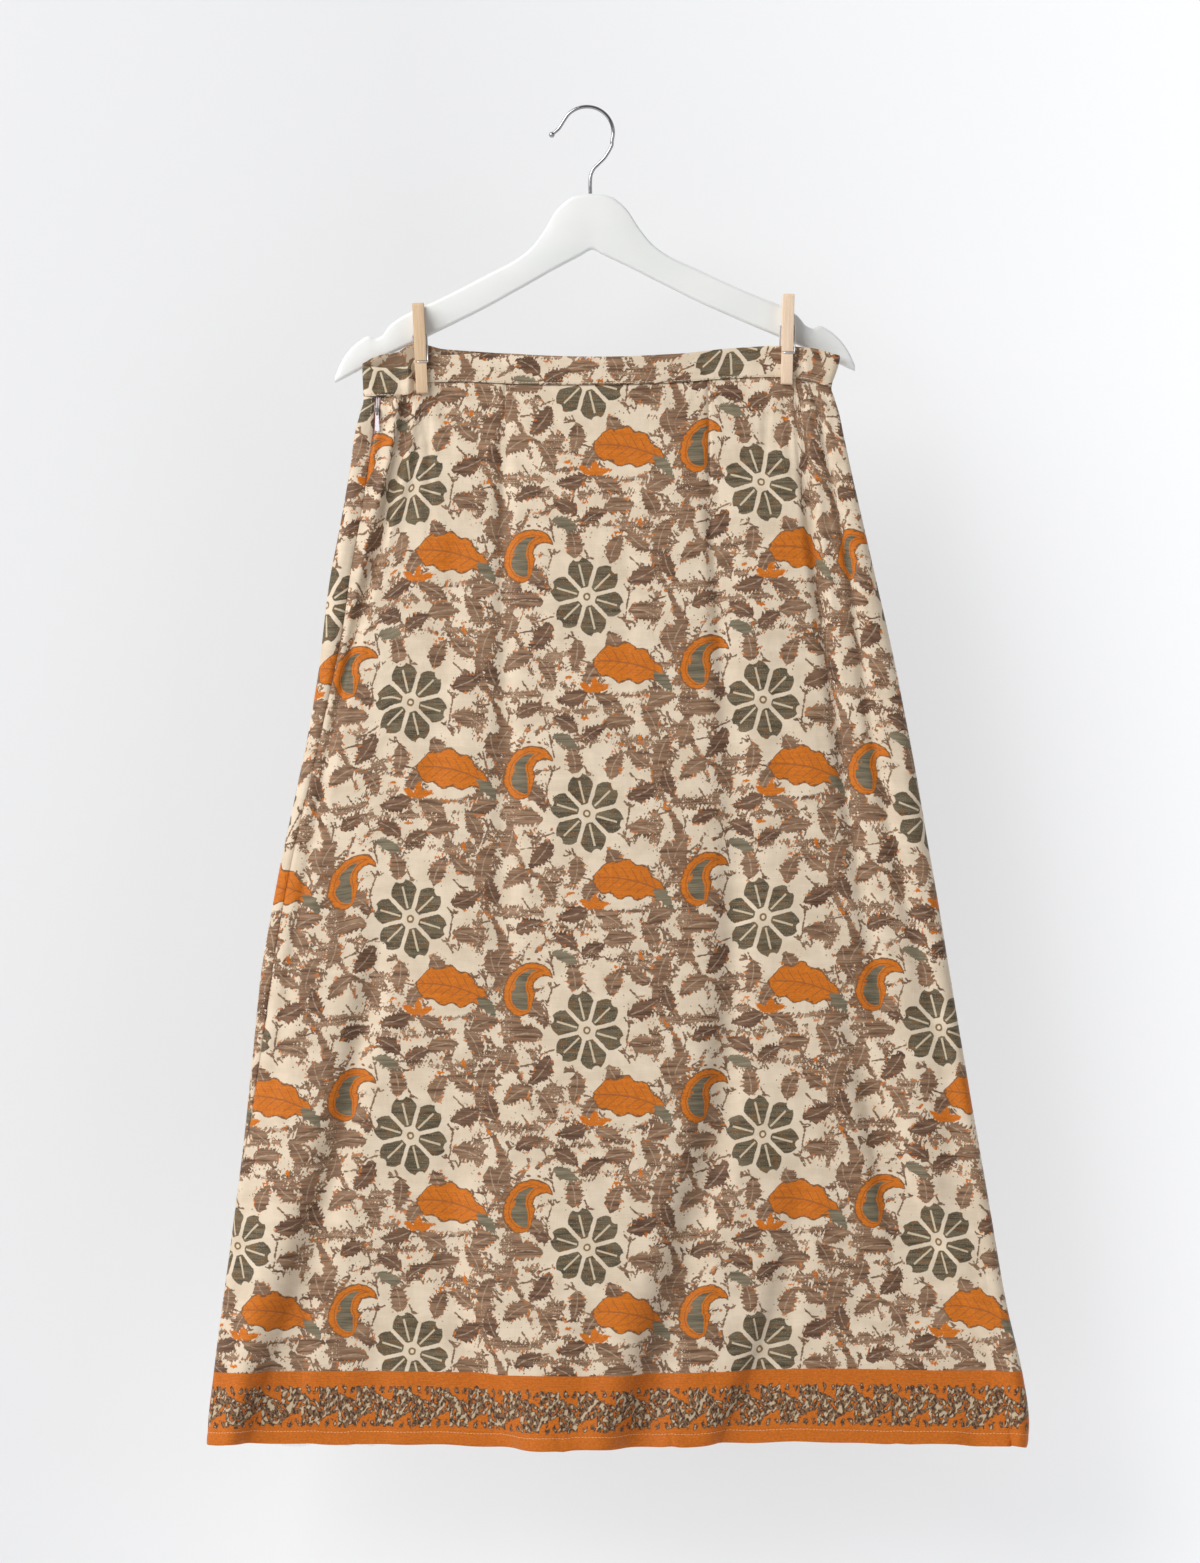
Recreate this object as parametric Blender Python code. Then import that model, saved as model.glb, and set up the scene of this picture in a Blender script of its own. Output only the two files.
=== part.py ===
"""A-line skirt on a clothes hanger.

A long flared skirt with a narrow waistband hangs from two clothes-pegs that
are fixed to the front of a wooden hanger.  Everything is laid out in one
frame: +Z up, +X to the wearer's left as seen from the front, the front of
the skirt facing -Y.  The origin is the inner top of the hook, where a rail
would carry it.  Tables and sizes are in millimetres; Blender gets metres.
"""

import math

import bmesh
import bpy
from mathutils import Euler, Vector

MM = 0.001
GAP = 0.3  # clearance between separate pieces

# ---------------------------------------------------------------- skirt sizes
T_CLOTH = 1.2  # wall of a skirt panel
T_BAND = 1.4  # wall of the waistband, which is cloth folded double
T_HEM = 0.8  # wall of the turned-up hem allowance
T_TAPE = 0.7  # wall of the zip tape
HEM_TURN = 10.0  # height of the turned-up hem
SKIRT_LENGTH = 845.0  # nominal, waist seam to hem
HEM_Z = -1077.6  # hem line at the side seams
BAND_MID_Y = -14.3  # plane midway between the two layers of the waistband
PINCHED = 0.85  # half distance between the layers where a peg bites

# Flat outline of the hanging skirt: edges of the silhouette at each height.
# columns: z, left edge x, right edge x
SILHOUETTE = (
    (-188.0, -180.5, 204.8),
    (-200.0, -180.5, 203.6),
    (-212.0, -180.2, 200.6),
    (-226.0, -179.6, 196.6),
    (-236.0, -179.8, 199.6),
    (-248.0, -183.0, 203.2),
    (-262.0, -186.5, 206.0),
    (-290.0, -190.5, 212.0),
    (-330.0, -197.0, 221.0),
    (-381.0, -206.6, 232.3),
    (-446.0, -214.8, 247.0),
    (-510.0, -225.5, 259.5),
    (-575.0, -239.2, 271.3),
    (-640.0, -252.3, 282.8),
    (-704.0, -263.0, 292.8),
    (-768.0, -269.6, 304.0),
    (-833.0, -276.3, 315.2),
    (-897.0, -284.5, 325.8),
    (-962.0, -292.6, 337.3),
    (-1026.0, -300.8, 350.3),
    (-1058.0, -304.4, 353.8),
    (-1090.0, -306.0, 350.5),
)

# How deep the hanging tube of cloth stands, from its middle plane.
# columns: z, half depth at the side folds, extra at the front, extra at the
# back, y of the middle plane
DEPTHS = (
    (-236.0, 2.4, 0.0, 0.0, -14.3),
    (-300.0, 4.4, 3.5, 3.5, -14.0),
    (-450.0, 7.5, 7.5, 7.0, -13.0),
    (-700.0, 10.0, 10.0, 10.0, -12.0),
    (-1090.0, 12.0, 12.0, 13.0, -11.0),
)

# Waist seam and upper edge of the band, along the front and along the back.
# columns: share of the width from the left, z of the seam, z of the top edge
FRONT_WAIST = (
    (0.000, -232.9, -208.8),
    (0.050, -233.4, -210.6),
    (0.085, -232.6, -209.4),
    (0.110, -228.6, -203.4),
    (0.138, -221.6, -197.0),
    (0.225, -221.8, -196.8),
    (0.385, -224.0, -199.2),
    (0.540, -223.8, -200.4),
    (0.660, -222.4, -199.0),
    (0.765, -219.2, -195.0),
    (0.870, -217.6, -192.8),
    (0.935, -219.8, -194.4),
    (1.000, -225.8, -200.6),
)
BACK_WAIST = (
    (0.000, -232.9, -206.6),
    (0.030, -227.6, -200.4),
    (0.070, -225.0, -197.9),
    (0.105, -217.8, -190.6),
    (0.150, -218.6, -191.4),
    (0.300, -222.6, -197.6),
    (0.540, -224.6, -201.6),
    (0.760, -220.4, -196.6),
    (0.870, -217.8, -193.2),
    (0.935, -220.0, -195.0),
    (1.000, -225.8, -200.6),
)

# Side seams sit a little way round from the silhouette's folds.
# columns: z, left seam's distance in from the left edge on the front (minus
# is behind), right seam's distance in from the right edge on the back
SIDE_SEAMS = (
    (-226.0, 8.2, 8.0),
    (-236.0, 9.0, 8.2),
    (-250.0, 12.2, 8.5),
    (-262.0, 14.2, 8.8),
    (-290.0, 14.4, 9.0),
    (-340.0, 14.8, 9.0),
    (-400.0, 15.4, 8.5),
    (-470.0, 11.8, 8.0),
    (-540.0, 9.2, 7.5),
    (-620.0, 7.4, 7.0),
    (-700.0, 7.6, 7.0),
    (-770.0, 4.4, 6.5),
    (-840.0, 0.6, 6.0),
    (-920.0, -3.0, 6.0),
    (-1090.0, -6.0, 6.0),
)

# The largest folds.  Each runs down a track x(z); crossing it from left to
# right the cloth steps forward by "step" (minus is back), and a groove of the
# given depth lies along it.  Depths grow from the first height to the last.
# columns: name, ((z, x), ...), half width at the top and at the bottom,
#          step at top and bottom, groove at top and bottom
FRONT_FOLDS = (
    ("side_left", ((-236, -148), (-330, -163), (-430, -189), (-540, -213), (-700, -240), (-853, -262)),
     7, 11, 0.0, 0.0, 1.6, 0.6),
    ("flank_left", ((-615, -156), (-700, -171), (-821, -197), (-962, -232), (-1080, -262)),
     14, 26, 0.0, -6.0, 0.5, 3.0),
    ("under_dart_left", ((-252, -67), (-480, -66), (-640, -68), (-784, -72)),
     14, 24, 0.0, 0.0, 1.4, 0.5),
    ("centre_left", ((-720, -106), (-881, -106), (-980, -98), (-1080, -64)),
     20, 24, 0.0, 12.5, 0.5, 2.0),
    ("under_dart_right", ((-268, 99), (-430, 113), (-607, 117), (-770, 112), (-900, 84), (-1080, 36)),
     12, 24, 0.0, -9.0, 2.2, 4.0),
    ("centre_right", ((-820, 174), (-900, 170), (-985, 152), (-1080, 118)),
     13, 20, 0.0, -9.5, 0.5, 2.0),
    ("hip_right", ((-236, 171), (-330, 180), (-478, 200), (-620, 220), (-790, 250)),
     8, 16, 0.0, 0.0, 2.0, 1.2),
    ("side_right", ((-236, 188), (-340, 208), (-494, 228), (-650, 260), (-800, 296)),
     7, 12, 0.0, 0.0, 1.4, 0.8),
    ("flank_right", ((-700, 206), (-800, 230), (-889, 256), (-980, 292), (-1080, 322)),
     14, 26, 0.0, 13.5, 0.8, 4.0),
)
BACK_FOLDS = (
    ("back_left", ((-260, -120), (-560, -150), (-860, -190), (-1080, -214)),
     14, 26, 0.0, 7.0, 0.6, 2.0),
    ("back_centre", ((-400, 10), (-700, -14), (-900, -30), (-1080, -20)),
     18, 30, 0.0, -8.0, 0.4, 2.5),
    ("back_right", ((-300, 130), (-560, 146), (-860, 160), (-1080, 196)),
     15, 26, 0.0, 7.0, 0.8, 2.5),
    ("back_hip", ((-236, 178), (-420, 200), (-640, 236), (-820, 262)),
     8, 14, 0.0, 0.0, 1.2, 0.6),
)

# Rows of a panel, in millimetres below the waist seam.
PANEL_ROWS = (0, 11, 23, 36, 60, 104, 160, 240, 330, 430, 530, 635, 740, SKIRT_LENGTH - HEM_TURN, SKIRT_LENGTH)
PANEL_COLUMNS = 40
BAND_ROWS = 2
BAND_SLIT = 0.04  # opening between the strip's ends, in turns of the tube's angle

# ------------------------------------------------------------------ zip sizes
ZIP_LENGTH = 165.0
TAPE_WIDTH = 6.5  # each side of the seam
GAPE = 4.3  # how far the front panel's edge is drawn back beside the slider
GAPE_FULL = 24.0  # length over which it stands fully open
GAPE_END = 40.0  # where it has closed again
SLIDER_DROP = 12.5  # slider's centre below the band
SLIDER = (3.0, 2.2, 6.2)  # width, depth, height
BAIL = (1.0, 3.4)  # strap width, strap height
BAIL_REACH = 1.9  # how far the strap stands out of the slider
BAIL_WALL = 0.6
PULL_LENGTH = 15.5
PULL_TOP_W = 2.6
PULL_LOW_W = 3.6
PULL_THICK = 0.6
PULL_EYE = (1.6, 2.1)  # width and height of the hole in the tab
PULL_RIM = 0.6

# --------------------------------------------------------------- hanger sizes
HANGER_TILT = -1.3  # degrees about Y: the right arm sits slightly higher
HANGER_SHIFT = 1.6
HANGER_THICK = 12.0
HANGER_ROUND = 3.2
# columns: distance from the middle, z of the upper edge, z of the lower edge
HANGER_ARM = (
    (0.0, -69.3, -114.2),
    (9.0, -69.9, -118.6),
    (17.0, -72.2, -122.6),
    (23.0, -76.6, -125.6),
    (29.0, -82.8, -128.6),
    (38.5, -98.0, -133.6),
    (49.5, -111.6, -139.6),
    (61.6, -120.6, -146.0),
    (84.0, -131.8, -157.8),
    (110.0, -144.6, -170.2),
    (134.0, -155.6, -181.2),
    (152.0, -163.2, -189.2),
    (165.0, -171.8, -195.2),
    (171.5, -179.8, -198.2),
    (177.0, -182.0, -201.0),
    (182.0, -180.0, -203.4),
    (191.0, -184.6, -207.8),
    (199.5, -192.8, -212.0),
    (206.0, -203.0, -215.2),
    (210.0, -212.0, -217.0),
)
HOOK_WIRE = 3.0
HOOK_RADIUS = 21.2
# columns: x, z of the wire's middle, from the crook down to the wood
HOOK_STEM = (
    (19.6, -30.6),
    (14.6, -39.2),
    (9.4, -44.6),
    (5.2, -49.0),
    (3.1, -54.2),
    (2.6, -60.6),
    (2.7, -68.7),
)
HOOK_TIP = ((-26.4, -19.4), (-22.6, -15.9))
HOOK_BALL = 4.8

# ------------------------------------------------------------------ peg sizes
PEG_WIDTH = 9.4
PEG_LENGTH = 73.0
PEG_LEG = 6.15
PEG_HALF_GAP = 1.85
COIL_HEIGHT = 46.0
WIRE_CROSSING = 25.4
SPRING_WIRE = 1.4
COIL_RADIUS = 2.3
COIL_TURNS = 3.5
# columns: name, x and z of the jaw's end, lean in degrees about Y
PEGS = (
    ("peg_left", -132.6, -231.3, -2.8),
    ("peg_right", 160.7, -223.9, 1.4),
)


# ------------------------------------------------------------------ utilities
def clear_scene():
    for obj in list(bpy.data.objects):
        bpy.data.objects.remove(obj, do_unlink=True)


def material(name, colour, roughness, metallic=0.0):
    mat = bpy.data.materials.new(name)
    mat.use_nodes = True
    shader = mat.node_tree.nodes["Principled BSDF"]
    shader.inputs["Base Color"].default_value = (*colour, 1.0)
    shader.inputs["Roughness"].default_value = roughness
    shader.inputs["Metallic"].default_value = metallic
    return mat


def add_object(name, verts, faces, mat, smooth_angle=None, parent=None):
    mesh = bpy.data.meshes.new(name)
    mesh.from_pydata([tuple(c * MM for c in v) for v in verts], [], faces)
    bm = bmesh.new()
    bm.from_mesh(mesh)
    bmesh.ops.recalc_face_normals(bm, faces=bm.faces)
    bm.to_mesh(mesh)
    bm.free()
    obj = bpy.data.objects.new(name, mesh)
    bpy.context.scene.collection.objects.link(obj)
    mesh.materials.append(mat)
    if smooth_angle is not None:
        mesh.shade_smooth()
        mesh.set_sharp_from_angle(angle=math.radians(smooth_angle))
    if parent is not None:
        obj.parent = parent
    return obj


def clamp(v, low=0.0, high=1.0):
    return max(low, min(high, v))


def ease(v):
    v = clamp(v)
    return v * v * (3.0 - 2.0 * v)


def curve(table, at, column):
    """Smooth curve through one column of a table, read against column 0.

    The slopes are limited so that it never overshoots its rows.
    """
    rows = table if table[0][0] < table[-1][0] else table[::-1]
    n = len(rows)
    if at <= rows[0][0]:
        return rows[0][column]
    if at >= rows[-1][0]:
        return rows[-1][column]
    k = 0
    while rows[k + 1][0] < at:
        k += 1

    def slope(i):
        if i == 0 or i == n - 1:
            a, b = (0, 1) if i == 0 else (n - 2, n - 1)
            return (rows[b][column] - rows[a][column]) / (rows[b][0] - rows[a][0])
        h0, h1 = rows[i][0] - rows[i - 1][0], rows[i + 1][0] - rows[i][0]
        d0 = (rows[i][column] - rows[i - 1][column]) / h0
        d1 = (rows[i + 1][column] - rows[i][column]) / h1
        if d0 * d1 <= 0.0:
            return 0.0
        w0, w1 = 2 * h1 + h0, h1 + 2 * h0
        return (w0 + w1) / (w0 / d0 + w1 / d1)

    h = rows[k + 1][0] - rows[k][0]
    t = (at - rows[k][0]) / h
    m0, m1 = slope(k) * h, slope(k + 1) * h
    p0, p1 = rows[k][column], rows[k + 1][column]
    return (
        (2 * t**3 - 3 * t**2 + 1) * p0
        + (t**3 - 2 * t**2 + t) * m0
        + (-2 * t**3 + 3 * t**2) * p1
        + (t**3 - t**2) * m1
    )


# ------------------------------------------------------------- cloth surface
def peg_spots():
    """x where each peg crosses the waistband."""
    return [x - math.tan(math.radians(lean)) * 16.0 for _, x, _, lean in PEGS]


PEG_X = peg_spots()


def band_half_depth(x):
    """Half distance between the band's layers: pinched at the pegs."""
    left, right = PEG_X
    flat = 7.0
    if x < left - flat:
        return PINCHED + 2.3 * ease((left - flat - x) / 24.0)
    if x > right + flat:
        return PINCHED + 1.9 * ease((x - right - flat) / 20.0)
    span = (right - flat) - (left + flat)
    t = clamp((x - left - flat) / span)
    return PINCHED + 4.2 * math.sin(math.pi * t) ** 2


def fold_relief(folds, x, z):
    """How far the folds bring the cloth forward at x, z."""
    out = 0.0
    for _, track, wide0, wide1, step0, step1, groove0, groove1 in folds:
        top, low = track[0][0], track[-1][0]
        t = clamp((top - z) / (top - low))
        grow = ease((top - z) / 70.0 + 0.15)
        fade = 1.0 if low < -1050 else 1.0 - ease((low - z) / 110.0)
        centre = curve(track, z, 1)
        wide = wide0 + (wide1 - wide0) * t
        step = (step0 + (step1 - step0) * t * t) * grow * fade
        groove = (groove0 + (groove1 - groove0) * t) * grow * fade
        d = (x - centre) / wide
        out += 0.5 * step * math.tanh(d)
        out -= groove * math.exp(-d * d)
    return out


def hem_drop(x, front):
    """The flare lets the hem hang a little lower where it swings forward."""
    if not front:
        return 0.0
    return 2.4 * math.exp(-(((x + 8.0) / 80.0) ** 2)) - 1.4 * math.exp(-(((x - 190.0) / 60.0) ** 2))


def cloth(angle, down, band=None):
    """A point in the middle of the cloth wall.

    angle runs once round the tube: 0 at the left fold, pi at the right fold,
    the front between them, the back beyond.  down is 0 at the waist seam and
    1 at the hem.  With band given, the point is on the waistband instead, 0
    at its lower edge and 1 at its upper edge.
    """
    angle = angle % (2.0 * math.pi)
    front = angle <= math.pi
    share = 0.5 * (1.0 - math.cos(angle))
    waist = FRONT_WAIST if front else BACK_WAIST
    seam = curve(waist, share, 1)
    if band is None:
        x_hem = curve(SILHOUETTE, HEM_Z, 1) * (1 - share) + curve(SILHOUETTE, HEM_Z, 2) * share
        z = seam + (HEM_Z - hem_drop(x_hem, front) - seam) * down
    else:
        z = seam + (curve(waist, share, 2) - seam) * band
    left, right = curve(SILHOUETTE, z, 1), curve(SILHOUETTE, z, 2)
    x = left + (right - left) * share
    edge = curve(DEPTHS, z, 1)
    belly = curve(DEPTHS, z, 2 if front else 3) * math.sin(math.pi * share)
    open_up = ease((-236.0 - z) / 95.0)
    half = band_half_depth(x) * (1.0 - open_up) + (edge + belly) * open_up
    radius = 1.35 * (band_half_depth(x) * (1.0 - open_up) + edge * open_up)
    side = min(x - left, right - x)
    round_off = math.sqrt(max(0.0, 1.0 - (1.0 - min(1.0, side / radius)) ** 2))
    inside = ease((side - 2.0) / 26.0)
    folds = fold_relief(FRONT_FOLDS if front else BACK_FOLDS, x, z) * inside * ease((-232.0 - z) / 40.0)
    forward = half * round_off + folds
    return Vector((x, curve(DEPTHS, z, 4) - forward if front else curve(DEPTHS, z, 4) + forward, z))


def outward(angle, down, band=None):
    """Unit normal of the cloth, pointing out of the tube."""
    da, dd = 0.004, 0.003
    across = cloth(angle + da, down, band) - cloth(angle - da, down, band)
    if band is None:
        along = cloth(angle, down + dd) - cloth(angle, down - dd)
    else:
        along = cloth(angle, down, band - 0.05) - cloth(angle, down, band + 0.05)
    return along.cross(across).normalized()


class Ring:
    """One level of the tube, measured along the cloth from the left fold."""

    STEPS = 720

    def __init__(self, down, band=None):
        self.down, self.band = down, band
        self.angles = [math.pi * (2.0 * k / self.STEPS - 0.5) for k in range(self.STEPS + 1)]
        points = [cloth(a, down, band) for a in self.angles]
        self.lengths = [0.0]
        for a, b in zip(points, points[1:]):
            self.lengths.append(self.lengths[-1] + (b - a).length)

    def length_at(self, angle):
        t = (angle / math.pi + 0.5) / 2.0 * self.STEPS
        k = int(clamp(math.floor(t), 0, self.STEPS - 1))
        return self.lengths[k] + (self.lengths[k + 1] - self.lengths[k]) * (t - k)

    def angle_at(self, length):
        total = self.lengths[-1]
        turns = math.floor(length / total)
        length -= turns * total
        low, high = 0, self.STEPS
        while high - low > 1:
            mid = (low + high) // 2
            if self.lengths[mid] <= length:
                low = mid
            else:
                high = mid
        t = (length - self.lengths[low]) / (self.lengths[high] - self.lengths[low])
        return self.angles[low] + (self.angles[high] - self.angles[low]) * t + turns * 2.0 * math.pi

    def seam_angles(self):
        """Angles of the left and the right side seam at this level."""
        z_left = cloth(0.0, self.down).z
        z_right = cloth(math.pi, self.down).z
        wide_l = curve(SILHOUETTE, z_left, 2) - curve(SILHOUETTE, z_left, 1)
        wide_r = curve(SILHOUETTE, z_right, 2) - curve(SILHOUETTE, z_right, 1)
        inset_l = curve(SIDE_SEAMS, z_left, 1)
        inset_r = curve(SIDE_SEAMS, z_right, 2)
        left = math.acos(1.0 - 2.0 * abs(inset_l) / wide_l) * (1 if inset_l >= 0 else -1)
        right = math.pi + math.acos(1.0 - 2.0 * inset_r / wide_r)
        return left, right


def wall(name, grid, normals, thick, shift, mat):
    """Closed wall of one thickness about a grid of points, moved out by shift."""
    rows, cols = len(grid), len(grid[0])
    verts, faces = [], []
    for side in (0.5, -0.5):
        for i in range(rows):
            for j in range(cols):
                verts.append(grid[i][j] + normals[i][j] * (shift + side * thick))
    half = rows * cols

    def at(i, j, layer):
        return layer * half + i * cols + j

    for i in range(rows - 1):
        for j in range(cols - 1):
            faces.append((at(i, j, 0), at(i, j + 1, 0), at(i + 1, j + 1, 0), at(i + 1, j, 0)))
            faces.append((at(i, j, 1), at(i + 1, j, 1), at(i + 1, j + 1, 1), at(i, j + 1, 1)))
    for i in range(rows - 1):
        for j in (0, cols - 1):
            faces.append((at(i, j, 0), at(i + 1, j, 0), at(i + 1, j, 1), at(i, j, 1)))
    for j in range(cols - 1):
        for i in (0, rows - 1):
            faces.append((at(i, j, 0), at(i, j, 1), at(i, j + 1, 1), at(i, j + 1, 0)))
    return add_object(name, verts, faces, mat, smooth_angle=40)


def spread(count, ends=0.52):
    """Fractions from 0 to 1 that crowd towards both ends."""
    return [
        (1.0 - ends) * k / count + ends * (0.5 - 0.5 * math.cos(math.pi * k / count))
        for k in range(count + 1)
    ]


def gape(drop):
    """How far the front panel's edge is drawn off the left seam."""
    if drop <= GAPE_FULL:
        return GAPE
    return GAPE * (1.0 - ease((drop - GAPE_FULL) / (GAPE_END - GAPE_FULL)))


def panel_angles(is_front, drop, down, trim_side):
    """Angles of a panel's columns at one level, even along the cloth."""
    ring = Ring(down)
    left, right = ring.seam_angles()
    a, b = ring.length_at(left), ring.length_at(right)
    if is_front:
        start, stop = a + trim_side + gape(drop), b - trim_side
    else:
        start, stop = b + trim_side, a + ring.lengths[-1] - trim_side
    return [ring.angle_at(start + (stop - start) * t) for t in spread(PANEL_COLUMNS)]


def panel_grid(is_front, drops, trim_top, trim_low, trim_side):
    grid, normals = [], []
    for n, drop in enumerate(drops):
        down = drop / SKIRT_LENGTH
        if n == 0:
            down += trim_top / SKIRT_LENGTH
        if n == len(drops) - 1:
            down -= trim_low / SKIRT_LENGTH
        angles = panel_angles(is_front, drop, down, trim_side)
        row = [cloth(angle, down) for angle in angles]
        row_n = [outward(angle, down) for angle in angles]
        grid.append(row)
        normals.append(row_n)
    return grid, normals


def build_skirt(mats):
    inward = -(T_CLOTH / 2 + GAP + T_HEM / 2)
    for side, is_front in (("front", True), ("back", False)):
        grid, normals = panel_grid(is_front, PANEL_ROWS, GAP, 0.0, GAP / 2)
        wall("skirt_" + side, grid, normals, T_CLOTH, 0.0, mats["cloth"])
        # the turned-up allowance follows the panel's own last rows, inside it
        turn = [row[1:-1] for row in grid[-2:]]
        turn_n = [row[1:-1] for row in normals[-2:]]
        wall("hem_" + side, turn, turn_n, T_HEM, inward, mats["hem"])


def build_waistband(mats):
    """One strip that starts and ends at the left fold, over the zip.

    Its columns stand over the columns of the panels sewn to it.
    """
    rows = [k / BAND_ROWS for k in range(BAND_ROWS + 1)]
    turn = 2.0 * math.pi
    over = [a % turn for side in (True, False) for a in panel_angles(side, 0.0, GAP / SKIRT_LENGTH, GAP / 2)]
    over += [0.25 * BAND_SLIT * k for k in (1, 4, 9)]
    angles = [BAND_SLIT / 2]
    for a in sorted(over):
        if a - angles[-1] > 0.02 and a < turn - BAND_SLIT / 2 - 0.02:
            angles.append(a)
    angles.append(turn - BAND_SLIT / 2)
    grid = [[cloth(a, 0.0, r) for a in angles] for r in rows]
    normals = [[outward(a, 0.0, r) for a in angles] for r in rows]
    wall("waistband", grid, normals, T_BAND, 0.0, mats["band"])


def zip_grid(side, drops):
    """Tape on one side of the left seam: -1 behind the back panel, 1 the front."""
    grid, normals = [], []
    for drop in drops:
        ring = Ring(drop / SKIRT_LENGTH)
        seam = ring.length_at(ring.seam_angles()[0]) + 0.5 * gape(drop)
        row, row_n = [], []
        for k in range(5):
            reach = GAP / 2 + (TAPE_WIDTH - GAP / 2) * k / 4
            angle = ring.angle_at(seam + side * reach)
            row.append(cloth(angle, ring.down))
            row_n.append(outward(angle, ring.down))
        grid.append(row if side > 0 else row[::-1])
        normals.append(row_n if side > 0 else row_n[::-1])
    return grid, normals


def build_zip(mats):
    inward = -(T_CLOTH / 2 + GAP + T_TAPE / 2)
    drops = (1.0, 12.0, 24.0, 36.0, 60.0, 90.0, 125.0, ZIP_LENGTH)
    for name, side in (("zip_tape_front", 1), ("zip_tape_back", -1)):
        grid, normals = zip_grid(side, drops)
        wall(name, grid, normals, T_TAPE, inward, mats["tape"])

    # The slider sits in the gap between the panels' edges, on the tape.
    ring = Ring(SLIDER_DROP / SKIRT_LENGTH)
    length = ring.length_at(ring.seam_angles()[0]) + 0.5 * gape(SLIDER_DROP) + GAP / 4
    angle = ring.angle_at(length)
    spot, normal = cloth(angle, ring.down), outward(angle, ring.down)
    turn = math.atan2(normal.x, -normal.y)  # heading of the cloth there
    base = bpy.data.objects.new("zip_frame", None)
    bpy.context.scene.collection.objects.link(base)
    base.location = tuple(c * MM for c in spot)
    base.rotation_euler = Euler((0.0, 0.0, turn))

    # local frame: x across, -y out of the cloth, z up
    w, d, h = SLIDER
    back = T_CLOTH / 2 - 0.05  # the slider's back face, just off the tape
    body = box_mesh((-w / 2, -d + back, -h / 2), (w / 2, back, h / 2), 0.5)
    face = -d + back
    strap_w, strap_h = BAIL
    verts, faces = frame_bar(
        strap_w, (face - BAIL_REACH, face + 0.2), (-strap_h / 2, strap_h / 2), BAIL_WALL
    )
    slider = add_object("zip_slider", body[0], body[1], mats["metal"], 30, base)
    strap = add_object("zip_bail_shape", verts, faces, mats["metal"], None, base)
    join = slider.modifiers.new("bail", "BOOLEAN")
    join.operation = "UNION"
    join.object = strap
    strap.hide_render = True
    strap.display_type = "WIRE"

    # The tab's rim lies inside the bail and hangs on its lower leg.
    axis_y = face - (BAIL_REACH - BAIL_WALL) / 2
    axis_z = -strap_h / 2 + BAIL_WALL + GAP / 2 + PULL_RIM / 2
    pivot = bpy.data.objects.new("pull_frame", None)
    bpy.context.scene.collection.objects.link(pivot)
    pivot.parent = base
    pivot.location = (0.0, axis_y * MM, axis_z * MM)
    verts, faces = pull_tab()
    add_object("zip_pull", verts, faces, mats["pull"], 30, pivot)


def box_mesh(low, high, cut):
    """Box whose four upright edges are cut off at an angle."""
    (x0, y0, z0), (x1, y1, z1) = low, high
    ring = [
        (x0 + cut, y0), (x1 - cut, y0), (x1, y0 + cut), (x1, y1 - cut),
        (x1 - cut, y1), (x0 + cut, y1), (x0, y1 - cut), (x0, y0 + cut),
    ]
    verts = [(x, y, z) for z in (z0, z1) for x, y in ring]
    n = len(ring)
    faces = [tuple(range(n))[::-1], tuple(range(n, 2 * n))]
    faces += [(k, (k + 1) % n, (k + 1) % n + n, k + n) for k in range(n)]
    return verts, faces


def frame_bar(width, ys, zs, wall_t):
    """Rectangular frame of one wall, extruded across x."""
    (y0, y1), (z0, z1) = ys, zs
    outer = [(y0, z0), (y1, z0), (y1, z1), (y0, z1)]
    inner = [(y0 + wall_t, z0 + wall_t), (y1 - 0.2, z0 + wall_t), (y1 - 0.2, z1 - wall_t), (y0 + wall_t, z1 - wall_t)]
    verts = [(x, y, z) for x in (-width / 2, width / 2) for y, z in outer + inner]
    faces = []
    for k in range(4):
        n = (k + 1) % 4
        faces.append((k, n, n + 4, k + 4))
        faces.append((k + 8, k + 12, n + 12, n + 8))
        faces.append((k, k + 8, n + 8, n))
        faces.append((k + 4, n + 4, n + 12, k + 12))
    return verts, faces


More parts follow.
